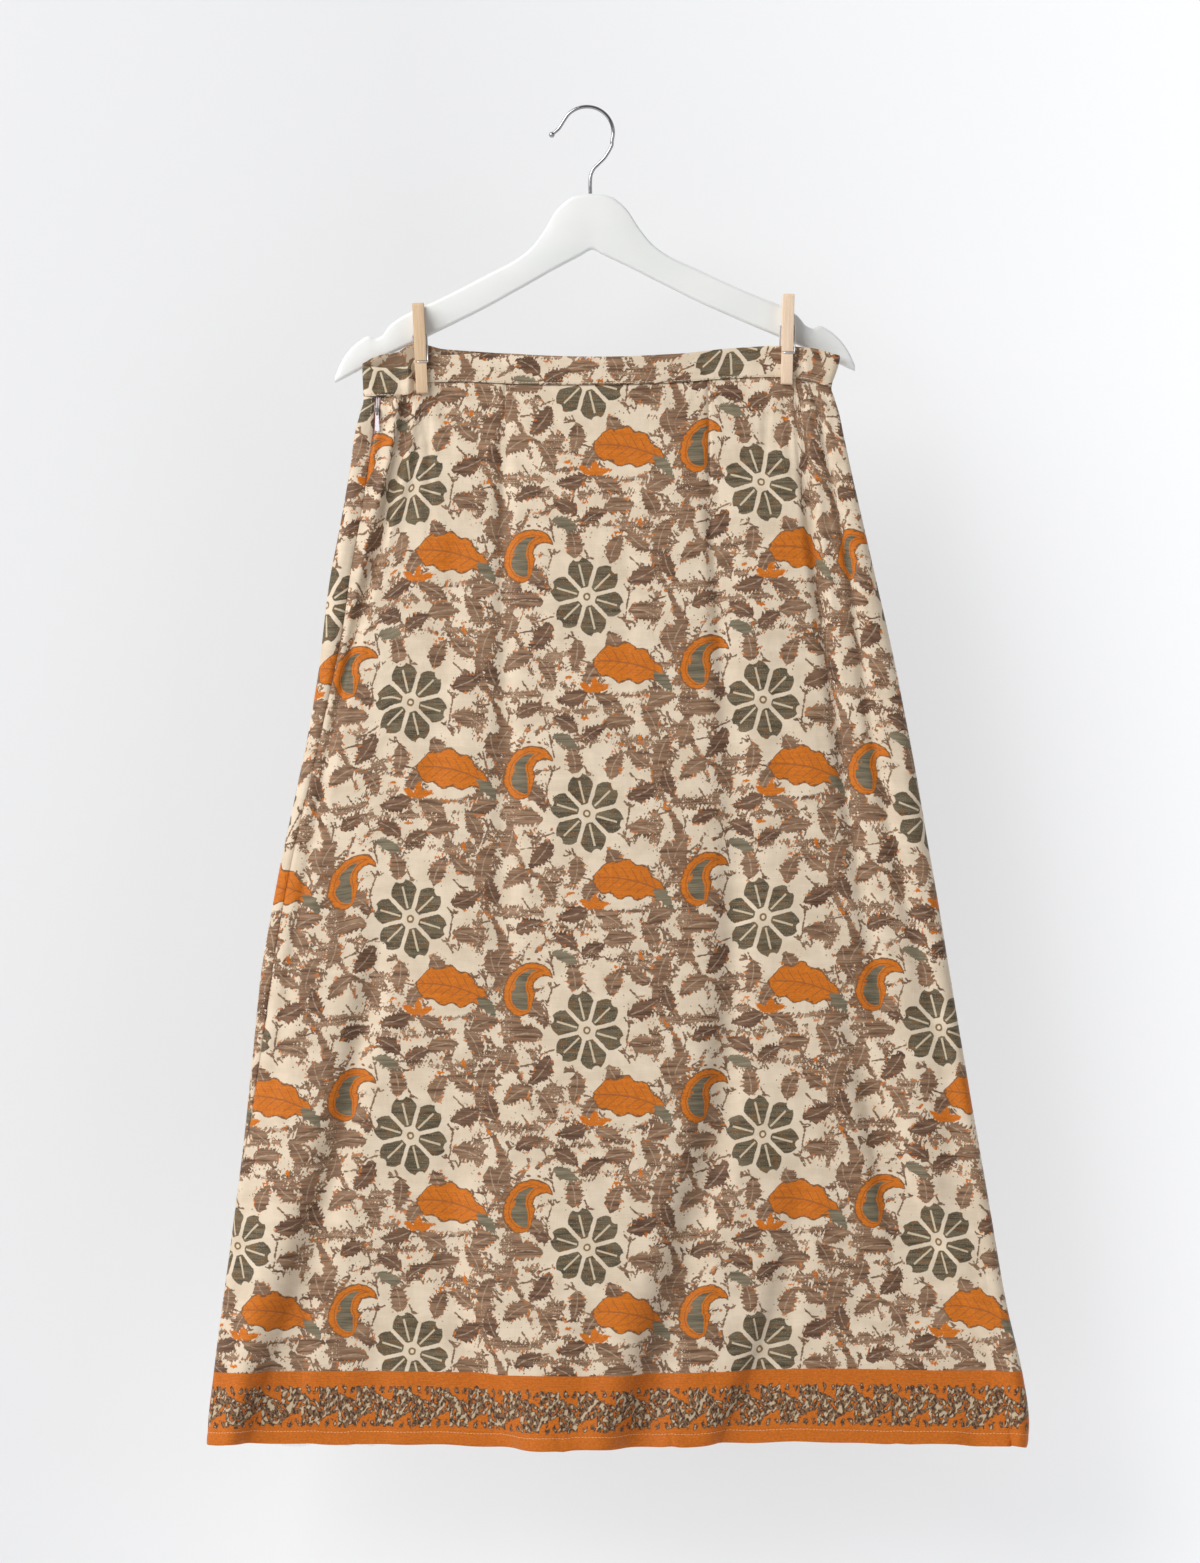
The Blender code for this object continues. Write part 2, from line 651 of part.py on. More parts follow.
def pull_tab():
    """Teardrop tab with an eye, hanging from the origin along -z."""
    top = PULL_RIM / 2
    outer = [(-PULL_TOP_W / 2 + 0.4, top), (PULL_TOP_W / 2 - 0.4, top), (PULL_TOP_W / 2, top - 0.4)]
    low = top - PULL_LENGTH
    outer.append((PULL_TOP_W / 2, top - PULL_RIM - PULL_EYE[1] - 0.6))
    r = PULL_LOW_W / 2
    for k in range(7):
        a = math.pi * k / 6
        outer.append((r * math.cos(a), low + r - r * math.sin(a)))
    outer.append((-PULL_TOP_W / 2, top - PULL_RIM - PULL_EYE[1] - 0.6))
    outer.append((-PULL_TOP_W / 2, top - 0.4))
    ex, ez = PULL_EYE[0] / 2, top - PULL_RIM
    eye = [(-ex, ez), (ex, ez), (ex, ez - PULL_EYE[1]), (-ex, ez - PULL_EYE[1])]
    bm = bmesh.new()
    rings = []
    for loop in (outer, eye):
        vs = [bm.verts.new((x, -PULL_THICK / 2, z)) for x, z in loop]
        rings.append([bm.edges.new((a, b)) for a, b in zip(vs, vs[1:] + vs[:1])])
    filled = bmesh.ops.triangle_fill(bm, edges=rings[0] + rings[1], use_beauty=True)
    faces = [f for f in filled["geom"] if isinstance(f, bmesh.types.BMFace)]
    grown = bmesh.ops.extrude_face_region(bm, geom=faces)
    moved = [v for v in grown["geom"] if isinstance(v, bmesh.types.BMVert)]
    bmesh.ops.translate(bm, verts=moved, vec=(0.0, PULL_THICK, 0.0))
    bmesh.ops.recalc_face_normals(bm, faces=bm.faces)
    bm.verts.index_update()
    verts = [tuple(v.co) for v in bm.verts]
    polys = [tuple(v.index for v in f.verts) for f in bm.faces]
    bm.free()
    return verts, polys


# --------------------------------------------------------------------- hanger
def build_hanger(mats):
    frame = bpy.data.objects.new("hanger_frame", None)
    bpy.context.scene.collection.objects.link(frame)
    frame.rotation_euler = Euler((0.0, math.radians(HANGER_TILT), 0.0))

    # upright slices from the left tip to the right one, each a rounded box
    slices = [(HANGER_SHIFT - d, top, low) for d, top, low in HANGER_ARM[:0:-1]]
    slices += [(HANGER_SHIFT + d, top, low) for d, top, low in HANGER_ARM]
    half = HANGER_THICK / 2
    verts, faces = [], []
    for x, top, low in slices:
        r = min(HANGER_ROUND, 0.42 * (top - low))
        for y, z, start in (
            (half - r, top - r, 0.0), (r - half, top - r, 90.0),
            (r - half, low + r, 180.0), (half - r, low + r, 270.0),
        ):
            for k in range(3):
                a = math.radians(start + 45.0 * k)
                verts.append((x, y + r * math.cos(a), z + r * math.sin(a)))
    n = 12
    for i in range(len(slices) - 1):
        for k in range(n):
            m = (k + 1) % n
            faces.append((i * n + k, i * n + m, (i + 1) * n + m, (i + 1) * n + k))
    last = (len(slices) - 1) * n
    faces += [tuple(range(n))[::-1], tuple(range(last, last + n))]
    add_object("hanger_body", verts, faces, mats["paint"], 50, frame)

    tube("hanger_hook", hook_path(), HOOK_WIRE / 2, 2, mats["chrome"])
    bm = bmesh.new()
    bmesh.ops.create_uvsphere(bm, u_segments=12, v_segments=8, radius=HOOK_BALL / 2)
    verts = [tuple(v.co) for v in bm.verts]
    polys = [tuple(v.index for v in f.verts) for f in bm.faces]
    bm.free()
    ball = add_object("hook_ball", verts, polys, mats["chrome"], 60)
    tip, after = Vector(HOOK_TIP[0]), Vector(HOOK_TIP[1])
    out = (tip - after).normalized()
    place = tip + out * (HOOK_BALL / 2 + GAP)
    ball.location = (place.x * MM, 0.0, place.y * MM)


def hook_path():
    """Wire's middle line: tip, a round crook about its centre, then the stem."""
    middle = -(HOOK_RADIUS - HOOK_WIRE / 2)
    knots = list(HOOK_TIP)
    for k in range(10):
        a = math.radians(154.0 - 172.0 * k / 9)
        knots.append((HOOK_RADIUS * math.cos(a), middle + HOOK_RADIUS * math.sin(a)))
    knots += list(HOOK_STEM)
    points = []
    for i in range(len(knots) - 1):
        p0 = knots[max(0, i - 1)]
        p1, p2 = knots[i], knots[i + 1]
        p3 = knots[min(len(knots) - 1, i + 2)]
        for k in range(2):
            t = k / 2
            points.append(tuple(
                0.5 * (2 * b + (c - a) * t + (2 * a - 5 * b + 4 * c - d) * t * t + (3 * b - a - 3 * c + d) * t**3)
                for a, b, c, d in zip(p0, p1, p2, p3)
            ))
    points.append(knots[-1])
    return [(x, 0.0, z) for x, z in points]


def tube(name, points, radius, resolution, mat, parent=None):
    """Round wire along a list of points."""
    data = bpy.data.curves.new(name, "CURVE")
    data.dimensions = "3D"
    data.bevel_depth = radius * MM
    data.bevel_resolution = resolution
    data.use_fill_caps = True
    line = data.splines.new("POLY")
    line.points.add(len(points) - 1)
    for p, at in zip(line.points, points):
        p.co = (at[0] * MM, at[1] * MM, at[2] * MM, 1.0)
    data.materials.append(mat)
    obj = bpy.data.objects.new(name, data)
    bpy.context.scene.collection.objects.link(obj)
    if parent is not None:
        obj.parent = parent
    return obj


# ----------------------------------------------------------------------- pegs
def peg_leg_profile():
    """Side view of one leg: depth out of the jaw plane, height from the jaw."""
    t = PEG_LEG
    groove = (WIRE_CROSSING - 1.0, WIRE_CROSSING + 1.0)
    points = [
        (0.9, 0.0), (4.6, 0.0), (5.7, 0.8), (t, 3.0),
        (t, groove[0]), (t - 1.15, groove[0]), (t - 1.15, groove[1]), (t, groove[1]),
        (t, PEG_LENGTH - 2.0), (t - 1.2, PEG_LENGTH), (3.4, PEG_LENGTH), (2.9, PEG_LENGTH - 0.8),
        (0.0, 51.0),
    ]

    def notch(depth_centre, height, radius, steps):
        reach = math.acos(-depth_centre / radius)
        for k in range(steps + 1):
            a = reach - 2.0 * reach * k / steps
            points.append((depth_centre + radius * math.cos(a), height + radius * math.sin(a)))

    notch(-PEG_HALF_GAP, COIL_HEIGHT, COIL_RADIUS + SPRING_WIRE / 2 + GAP, 6)
    notch(-0.9, 14.0, 2.6, 4)
    points.append((0.0, 1.0))
    return points


def spring_path():
    """One wire: across the front leg, up to the coil, down, across the back."""
    side = PEG_WIDTH / 2 + GAP + SPRING_WIRE / 2
    out = PEG_HALF_GAP + PEG_LEG - 1.15 + GAP + SPRING_WIRE / 2
    low = WIRE_CROSSING
    front = [(-3.2, -out, low), (side - 1.4, -out, low), (side - 0.3, -out + 0.3, low + 0.3), (side, -out + 0.9, low + 1.6)]
    coil = []
    steps = int(COIL_TURNS * 8)
    for k in range(steps + 1):
        a = 2.0 * math.pi * COIL_TURNS * k / steps
        coil.append((
            side - 2.0 * side * k / steps,
            -COIL_RADIUS * math.cos(a),
            COIL_HEIGHT + COIL_RADIUS * math.sin(a),
        ))
    back = [(-x, -y, z) for x, y, z in front[::-1]]
    return front + coil + back


def build_pegs(mats):
    for name, x, z, lean in PEGS:
        frame = bpy.data.objects.new(name + "_frame", None)
        bpy.context.scene.collection.objects.link(frame)
        frame.location = (x * MM, BAND_MID_Y * MM, z * MM)
        frame.rotation_euler = Euler((0.0, math.radians(lean), 0.0))
        profile = peg_leg_profile()
        n = len(profile)
        for part, way in (("front", -1.0), ("back", 1.0)):
            verts = []
            for x_side in (-PEG_WIDTH / 2, PEG_WIDTH / 2):
                verts += [(x_side, way * (PEG_HALF_GAP + d), h) for d, h in profile]
            faces = [tuple(range(n)), tuple(range(n, 2 * n))[::-1]]
            faces += [(k, (k + 1) % n, (k + 1) % n + n, k + n) for k in range(n)]
            add_object(f"{name}_leg_{part}", verts, faces, mats["beech"], 35, frame)
        tube(name + "_spring", spring_path(), SPRING_WIRE / 2, 1, mats["steel"], frame)


def main():
    clear_scene()
    mats = {
        "cloth": material("printed_cloth", (0.42, 0.33, 0.23), 0.62),
        "band": material("printed_band", (0.40, 0.31, 0.22), 0.62),
        "hem": material("hem_turn", (0.50, 0.17, 0.03), 0.6),
        "tape": material("zip_tape", (0.83, 0.80, 0.82), 0.8),
        "metal": material("zip_metal", (0.62, 0.58, 0.56), 0.35, 1.0),
        "pull": material("zip_tab", (0.80, 0.76, 0.80), 0.4),
        "paint": material("white_paint", (0.86, 0.87, 0.86), 0.38),
        "chrome": material("chrome_wire", (0.72, 0.72, 0.73), 0.12, 1.0),
        "beech": material("beech", (0.75, 0.56, 0.38), 0.6),
        "steel": material("spring_steel", (0.62, 0.62, 0.64), 0.28, 1.0),
    }
    build_skirt(mats)
    build_waistband(mats)
    build_zip(mats)
    build_hanger(mats)
    build_pegs(mats)


main()
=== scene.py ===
"""Looks of the a-line skirt on its hanger: cloth shells, print, stitching, zip, hanger and pegs.

Sizes and tables are in millimetres and repeat those of the CAD source; Blender gets metres.
"""
import math

import bmesh
import bpy
import numpy as np
from mathutils import Euler, Matrix, Vector


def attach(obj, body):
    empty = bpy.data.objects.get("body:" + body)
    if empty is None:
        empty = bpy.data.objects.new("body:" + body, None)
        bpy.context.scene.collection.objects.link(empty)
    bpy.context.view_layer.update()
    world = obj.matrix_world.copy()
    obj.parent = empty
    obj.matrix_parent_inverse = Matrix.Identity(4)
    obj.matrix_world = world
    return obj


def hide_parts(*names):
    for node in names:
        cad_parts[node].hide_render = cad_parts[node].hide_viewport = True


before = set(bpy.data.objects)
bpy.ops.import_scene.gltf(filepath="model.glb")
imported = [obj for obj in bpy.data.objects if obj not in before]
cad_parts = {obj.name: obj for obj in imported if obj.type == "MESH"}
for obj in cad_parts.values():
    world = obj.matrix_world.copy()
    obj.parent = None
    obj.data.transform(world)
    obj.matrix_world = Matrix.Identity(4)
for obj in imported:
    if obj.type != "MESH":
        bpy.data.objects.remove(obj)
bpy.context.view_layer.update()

MM = 0.001
PI = math.pi

# ===================================================================== tables
T_CLOTH = 0.7  # shell of a skirt panel, about the same middle surface as the CAD wall
SKIRT_LENGTH = 845.0
HEM_Z = -1077.6
HEM_TURN = 10.0
BAND_MID_Y = -14.3
PINCHED = 0.85

# columns: z, left edge x, right edge x
SILHOUETTE = (
    (-188.0, -180.5, 204.8),
    (-200.0, -180.5, 203.6),
    (-212.0, -180.2, 200.6),
    (-226.0, -179.6, 196.6),
    (-236.0, -179.8, 199.6),
    (-248.0, -183.0, 203.2),
    (-262.0, -186.5, 206.0),
    (-290.0, -190.5, 212.0),
    (-330.0, -197.0, 221.0),
    (-381.0, -206.6, 232.3),
    (-446.0, -214.8, 247.0),
    (-510.0, -225.5, 259.5),
    (-575.0, -239.2, 271.3),
    (-640.0, -252.3, 282.8),
    (-704.0, -263.0, 292.8),
    (-768.0, -269.6, 304.0),
    (-833.0, -276.3, 315.2),
    (-897.0, -284.5, 325.8),
    (-962.0, -292.6, 337.3),
    (-1026.0, -300.8, 350.3),
    (-1058.0, -304.4, 353.8),
    (-1090.0, -306.0, 350.5),
)
# columns: z, half depth at the side folds, extra front, extra back, middle y
DEPTHS = (
    (-236.0, 2.4, 0.0, 0.0, -14.3),
    (-300.0, 4.4, 3.5, 3.5, -14.0),
    (-450.0, 7.5, 7.5, 7.0, -13.0),
    (-700.0, 10.0, 10.0, 10.0, -12.0),
    (-1090.0, 12.0, 12.0, 13.0, -11.0),
)
# columns: share of the width from the left, z of the seam, z of the top edge
FRONT_WAIST = (
    (0.000, -232.9, -208.8),
    (0.050, -233.4, -210.6),
    (0.085, -232.6, -209.4),
    (0.110, -228.6, -203.4),
    (0.138, -221.6, -197.0),
    (0.225, -221.8, -196.8),
    (0.385, -224.0, -199.2),
    (0.540, -223.8, -200.4),
    (0.660, -222.4, -199.0),
    (0.765, -219.2, -195.0),
    (0.870, -217.6, -192.8),
    (0.935, -219.8, -194.4),
    (1.000, -225.8, -200.6),
)
BACK_WAIST = (
    (0.000, -232.9, -206.6),
    (0.030, -227.6, -200.4),
    (0.070, -225.0, -197.9),
    (0.105, -217.8, -190.6),
    (0.150, -218.6, -191.4),
    (0.300, -222.6, -197.6),
    (0.540, -224.6, -201.6),
    (0.760, -220.4, -196.6),
    (0.870, -217.8, -193.2),
    (0.935, -220.0, -195.0),
    (1.000, -225.8, -200.6),
)
# columns: z, left seam's inset on the front, right seam's inset on the back
SIDE_SEAMS = (
    (-226.0, 8.2, 8.0),
    (-236.0, 9.0, 8.2),
    (-250.0, 12.2, 8.5),
    (-262.0, 14.2, 8.8),
    (-290.0, 14.4, 9.0),
    (-340.0, 14.8, 9.0),
    (-400.0, 15.4, 8.5),
    (-470.0, 11.8, 8.0),
    (-540.0, 9.2, 7.5),
    (-620.0, 7.4, 7.0),
    (-700.0, 7.6, 7.0),
    (-770.0, 4.4, 6.5),
    (-840.0, 0.6, 6.0),
    (-920.0, -3.0, 6.0),
    (-1090.0, -6.0, 6.0),
)
# columns: name, track of (z, x), half width top and bottom, step top and
#          bottom, groove top and bottom
FRONT_FOLDS = (
    ("side_left", ((-236, -148), (-330, -163), (-430, -189), (-540, -213), (-700, -240), (-853, -262)),
     7, 11, 0.0, 0.0, 1.6, 0.6),
    ("flank_left", ((-615, -156), (-700, -171), (-821, -197), (-962, -232), (-1080, -262)),
     14, 26, 0.0, -11.0, 0.5, 4.4),
    ("under_dart_left", ((-252, -67), (-480, -66), (-640, -68), (-784, -72)),
     14, 24, 0.0, 0.0, 1.4, 0.5),
    ("centre_left", ((-720, -106), (-881, -106), (-980, -98), (-1080, -64)),
     20, 24, 0.0, 12.5, 0.5, 2.0),
    ("under_dart_right", ((-268, 99), (-430, 113), (-607, 117), (-770, 112), (-900, 84), (-1080, 36)),
     12, 24, 0.0, -9.0, 1.2, 3.2),
    ("centre_right", ((-820, 174), (-900, 170), (-985, 152), (-1080, 118)),
     13, 20, 0.0, -9.5, 0.5, 2.0),
    ("hip_right", ((-236, 171), (-330, 180), (-478, 200), (-620, 220), (-790, 250)),
     8, 16, 0.0, 0.0, 2.0, 1.2),
    ("side_right", ((-236, 188), (-340, 208), (-494, 228), (-650, 260), (-800, 296)),
     7, 12, 0.0, 0.0, 1.4, 0.8),
    ("flank_right", ((-700, 206), (-800, 230), (-889, 256), (-980, 292), (-1080, 322)),
     14, 24, 0.0, 11.0, 1.0, 6.5),
)
BACK_FOLDS = (
    ("back_left", ((-260, -120), (-560, -150), (-860, -190), (-1080, -214)),
     14, 26, 0.0, 7.0, 0.6, 2.0),
    ("back_centre", ((-400, 10), (-700, -14), (-900, -30), (-1080, -20)),
     18, 30, 0.0, -8.0, 0.4, 2.5),
    ("back_right", ((-300, 130), (-560, 146), (-860, 160), (-1080, 196)),
     15, 26, 0.0, 7.0, 0.8, 2.5),
    ("back_hip", ((-236, 178), (-420, 200), (-640, 236), (-820, 262)),
     8, 14, 0.0, 0.0, 1.2, 0.6),
)

# Finer creases of the cloth, as soft troughs (depth above 0) or ridges.
# columns: name, track of (z, x), half width top and bottom, depth top and
#          bottom, length of the fade at its top and at its low end
FRONT_CREASES = (
    ("seam_pleat", ((-380, -192), (-440, -199), (-500, -210), (-560, -224), (-640, -238)), 2.6, 3.4, 0.9, 0.5, 40, 60),
    ("side_left_core", ((-238, -147), (-330, -162), (-430, -188), (-540, -212), (-700, -239), (-853, -261)), 2.8, 5.5, 2.0, 1.0, 16, 160),
    ("left_of_peg", ((-236, -143), (-262, -146), (-300, -152), (-346, -160)), 2.2, 3.0, 1.2, 0.4, 8, 50),
    ("under_peg", ((-236, -131), (-268, -128), (-310, -127), (-372, -124)), 2.4, 4.0, 0.9, 0.3, 8, 60),
    ("right_of_peg", ((-230, -119), (-262, -112), (-300, -106)), 2.4, 4.0, 0.7, 0.3, 8, 40),
    ("left_broad", ((-300, -100), (-420, -112), (-560, -128), (-700, -150)), 9, 14, 0.8, 0.7, 80, 140),
    ("dart_left_tail", ((-240, -67), (-300, -67), (-352, -67), (-480, -66), (-640, -67), (-800, -70)), 3.6, 9.0, 1.5, 0.7, 26, 160),
    ("mid_faint", ((-268, 31), (-400, 31), (-520, 30), (-560, 30)), 6, 9, 0.6, 0.4, 60, 100),
    ("dart_right_tail", ((-318, 98), (-380, 103), (-460, 108), (-560, 112)), 3.0, 7.5, 1.5, 0.9, 14, 120),
    ("dart_right_deep", ((-560, 114), (-690, 117), (-800, 108), (-900, 84), (-1000, 58), (-1078, 38)), 7, 15, 0.3, 3.4, 160, 6),
    ("hip_right_core", ((-232, 170), (-330, 179), (-478, 199), (-620, 219), (-790, 248)), 2.8, 6.0, 1.5, 0.7, 12, 150),
    ("side_right_core", ((-236, 186), (-300, 197), (-390, 214), (-494, 228), (-650, 259), (-780, 290)), 2.4, 5.0, 1.2, 0.6, 12, 150),
    ("right_peg_left", ((-224, 148), (-262, 144), (-310, 143)), 2.2, 3.6, 0.8, 0.3, 8, 50),
    ("right_peg_under", ((-226, 160), (-270, 163), (-340, 168)), 2.4, 4.2, 0.8, 0.3, 8, 70),
    ("right_slack", ((-430, 150), (-520, 160), (-640, 172)), 8, 12, 0.7, 0.5, 80, 100),
    ("flank_left_core", ((-640, -160), (-720, -176), (-821, -198), (-962, -233), (-1078, -262)), 7, 14, 1.6, 4.6, 90, 6),
    ("centre_left_core", ((-820, -107), (-960, -102), (-1030, -84), (-1078, -64)), 9, 13, 0.5, 2.2, 90, 6),
    ("centre_right_core", ((-850, 173), (-985, 152), (-1078, 118)), 8, 12, 0.7, 2.8, 80, 6),
    ("flank_right_core", ((-700, 204), (-780, 224), (-850, 244), (-930, 270), (-1010, 302), (-1078, 322)), 8, 16, 1.3, 5.6, 110, 6),
    ("hem_soft_left", ((-930, -160), (-1010, -168), (-1078, -176)), 10, 14, 0.7, 2.0, 90, 6),
    ("hem_soft_mid", ((-900, 4), (-1000, 0), (-1078, -6)), 11, 15, 0.6, 1.8, 90, 6),
    ("hem_soft_right", ((-920, 232), (-1020, 226), (-1078, 224)), 10, 13, 0.6, 2.0, 90, 6),
    ("left_edge_soft", ((-560, -222), (-660, -244), (-760, -258)), 3.0, 4.0, 0.8, 0.4, 40, 60),
    ("ridge_side_left", ((-233, -153), (-262, -156), (-330, -172), (-430, -198), (-520, -215)), 3.8, 5.0, -3.0, -0.9, 3, 120),
    ("ridge_under_peg", ((-240, -137), (-300, -147), (-380, -169)), 3.6, 5.0, -1.3, -0.5, 8, 60),
    ("ridge_hip_right", ((-226, 177), (-330, 188), (-478, 208)), 3.4, 5.0, -1.3, -0.5, 8, 90),
    ("ridge_left_low", ((-880, -252), (-980, -270), (-1070, -286)), 6, 8, -0.8, -0.8, 60, 20),
)
BACK_CREASES = (
    ("b_seam_left", ((-250, -172), (-380, -190), (-520, -208)), 3.0, 5.0, 0.9, 0.4, 20, 90),
    ("b_peg_left", ((-232, -132), (-290, -134), (-360, -140)), 2.6, 4.5, 1.0, 0.3, 10, 70),
    ("b_dart_left_tail", ((-322, -50), (-400, -52), (-500, -58)), 3.4, 8.0, 1.0, 0.4, 14, 90),
    ("b_dart_right_tail", ((-322, 72), (-400, 74), (-520, 80)), 3.4, 8.0, 1.1, 0.4, 14, 110),
    ("b_peg_right", ((-230, 161), (-300, 164), (-390, 172)), 2.6, 5.0, 0.9, 0.3, 10, 80),
    ("b_hip_core", ((-240, 178), (-420, 199), (-640, 235), (-800, 258)), 3.0, 6.0, 1.1, 0.5, 14, 150),
    ("b_left_core", ((-620, -157), (-860, -190), (-1078, -214)), 6, 9, 0.5, 1.3, 120, 6),
    ("b_mid_core", ((-700, -14), (-900, -30), (-1078, -20)), 6, 10, 0.5, 1.4, 120, 6),
    ("b_right_core", ((-640, 148), (-860, 160), (-1078, 196)), 6, 9, 0.6, 1.3, 120, 6),
    ("b_soft_a", ((-420, -96), (-560, -104), (-700, -110)), 9, 12, 0.7, 0.4, 80, 100),
    ("b_soft_b", ((-460, 60), (-640, 66), (-800, 60)), 9, 13, 0.7, 0.4, 80, 120),
    ("b_soft_c", ((-900, 262), (-1000, 280), (-1078, 292)), 7, 10, 0.5, 1.0, 60, 6),
    ("b_soft_d", ((-930, -120), (-1010, -112), (-1078, -108)), 9, 12, 0.4, 1.0, 60, 6),
)
# Short puckers where the band's pull and the pegs gather the cloth.
# columns: x, z of one end, x, z of the other end, half width, depth
FRONT_PUCKERS = (
    (-141.5, -235.0, -165.0, -243.0, 1.7, 1.5),
    (-141.0, -238.0, -166.0, -251.0, 1.8, 1.7),
    (-142.5, -243.0, -166.0, -261.0, 1.9, 1.5),
    (-144.0, -250.0, -165.0, -272.0, 2.0, 1.2),
    (-146.0, -259.0, -163.0, -284.0, 2.2, 0.9),
    (-118.0, -228.0, -106.0, -250.0, 2.2, 0.6),
    (-168.0, -284.0, -184.0, -300.0, 2.6, 0.7),
    (-170.0, -300.0, -188.0, -322.0, 2.8, 0.6),
    (174.0, -224.0, 190.0, -246.0, 2.2, 0.9),
    (172.0, -228.0, 184.0, -258.0, 2.3, 0.8),
    (178.0, -222.0, 196.0, -236.0, 1.9, 0.8),
    (150.0, -222.0, 138.0, -248.0, 2.2, 0.6),
    (-60.0, -227.0, -52.0, -242.0, 2.0, 0.35),
    (-74.0, -227.0, -82.0, -244.0, 2.0, 0.35),
    (92.0, -226.0, 82.0, -243.0, 2.0, 0.35),
    (104.0, -226.0, 113.0, -243.0, 2.0, 0.35),
    (-224.0, -1066.0, -221.0, -1079.0, 1.6, 0.9),
    (-195.0, -1062.0, -189.0, -1079.0, 1.8, 1.2),
    (-188.0, -1066.0, -186.0, -1079.0, 1.4, 0.8),
    (-24.0, -1064.0, -20.0, -1080.0, 2.0, 0.5),
    (66.0, -1066.0, 70.0, -1080.0, 2.0, 0.6),
    (250.0, -1064.0, 252.0, -1079.0, 2.0, 0.6),
)
BACK_PUCKERS = (
    (-146.0, -232.0, -164.0, -252.0, 2.2, 0.8),
    (-120.0, -228.0, -108.0, -250.0, 2.2, 0.6),
    (150.0, -228.0, 138.0, -250.0, 2.2, 0.6),
    (172.0, -228.0, 186.0, -252.0, 2.2, 0.8),
    (10.0, -1064.0, 14.0, -1080.0, 2.0, 0.6),
    (-150.0, -1064.0, -146.0, -1080.0, 2.0, 0.6),
)
# Darts: x at the waist seam, x at the tip, length below the seam, cloth taken up
FRONT_DARTS = ((-66.0, -66.5, 76.0, 8.0), (97.5, 99.0, 97.0, 10.0))
BACK_DARTS = ((-48.0, -50.0, 92.0, 9.0), (71.0, 72.0, 92.0, 9.0))
# Cloth folded away under the creases at the hips.
# columns: track of (z, x), cloth hidden at the top, z where it has run out
FRONT_TUCKS = (
    (((-225, -150), (-330, -163), (-430, -189), (-540, -213), (-700, -240)), 9.0, -640.0),
    (((-222, 168), (-330, 179), (-478, 199), (-620, 219), (-790, 248)), 17.0, -760.0),
    (((-222, 184), (-340, 206), (-494, 228), (-650, 259), (-800, 292)), 12.0, -720.0),
)
BACK_TUCKS = (
    (((-226, 178), (-420, 199), (-640, 235), (-800, 258)), 12.0, -700.0),
    (((-230, -132), (-400, -144), (-560, -150)), 8.0, -560.0),
)

# zip
ZIP_LENGTH = 165.0
TAPE_WIDTH = 11.0
GAPE = 4.3
GAPE_FULL = 24.0
GAPE_END = 35.0
SLIDER_DROP = 12.5
BAND_SLIT = 0.04

PEGS = (
    ("peg_left", -132.6, -231.3, -2.8),
    ("peg_right", 160.7, -223.9, 1.4),
)


# ================================================================== utilities
def ease(v):
    v = np.clip(v, 0.0, 1.0)
    return v * v * (3.0 - 2.0 * v)


_fits = {}


def curve(table, at, column):
    """Smooth monotone curve through one column of a table, for numbers or arrays."""
    key = (id(table), column)
    if key not in _fits:
        rows = table if table[0][0] < table[-1][0] else table[::-1]
        x = np.array([r[0] for r in rows], float)
        y = np.array([r[column] for r in rows], float)
        h, d = np.diff(x), np.diff(y) / np.diff(x)
        s = np.empty(len(x))
        s[0], s[-1] = d[0], d[-1]
        for i in range(1, len(x) - 1):
            if d[i - 1] * d[i] <= 0.0:
                s[i] = 0.0
            else:
                w0, w1 = 2 * h[i] + h[i - 1], h[i] + 2 * h[i - 1]
                s[i] = (w0 + w1) / (w0 / d[i - 1] + w1 / d[i])
        _fits[key] = (x, y, h, s, table)
    x, y, h, s, _ = _fits[key]
    at = np.clip(np.asarray(at, float), x[0], x[-1])
    k = np.clip(np.searchsorted(x, at, side="left") - 1, 0, len(x) - 2)
    t = (at - x[k]) / h[k]
    m0, m1 = s[k] * h[k], s[k + 1] * h[k]
    return (
        (2 * t**3 - 3 * t**2 + 1) * y[k] + (t**3 - 2 * t**2 + t) * m0
        + (-2 * t**3 + 3 * t**2) * y[k + 1] + (t**3 - t**2) * m1
    )


PEG_X = [x - math.tan(math.radians(lean)) * 16.0 for _, x, _, lean in PEGS]


def band_half_depth(x):
    left, right = PEG_X
    flat = 7.0
    t = np.clip((x - left - flat) / ((right - flat) - (left + flat)), 0, 1)
    mid = PINCHED + 4.2 * np.sin(PI * t) ** 2
    lo = PINCHED + 2.3 * ease((left - flat - x) / 24.0)
    hi = PINCHED + 1.9 * ease((x - right - flat) / 20.0)
    return np.where(x < left - flat, lo, np.where(x > right + flat, hi, mid))


def fold_relief(folds, x, z):
    out = np.zeros(np.broadcast(x, z).shape)
    for _, track, wide0, wide1, step0, step1, groove0, groove1 in folds:
        top, low = track[0][0], track[-1][0]
        t = np.clip((top - z) / (top - low), 0, 1)
        grow = ease((top - z) / 70.0 + 0.15)
        fade = 1.0 if low < -1050 else 1.0 - ease((low - z) / 110.0)
        centre = curve(track, z, 1)
        wide = wide0 + (wide1 - wide0) * t
        step = (step0 + (step1 - step0) * t * t) * grow * fade
        groove = (groove0 + (groove1 - groove0) * t) * grow * fade
        d = (x - centre) / wide
        out = out + 0.5 * step * np.tanh(d) - groove * np.exp(-d * d)
    return out


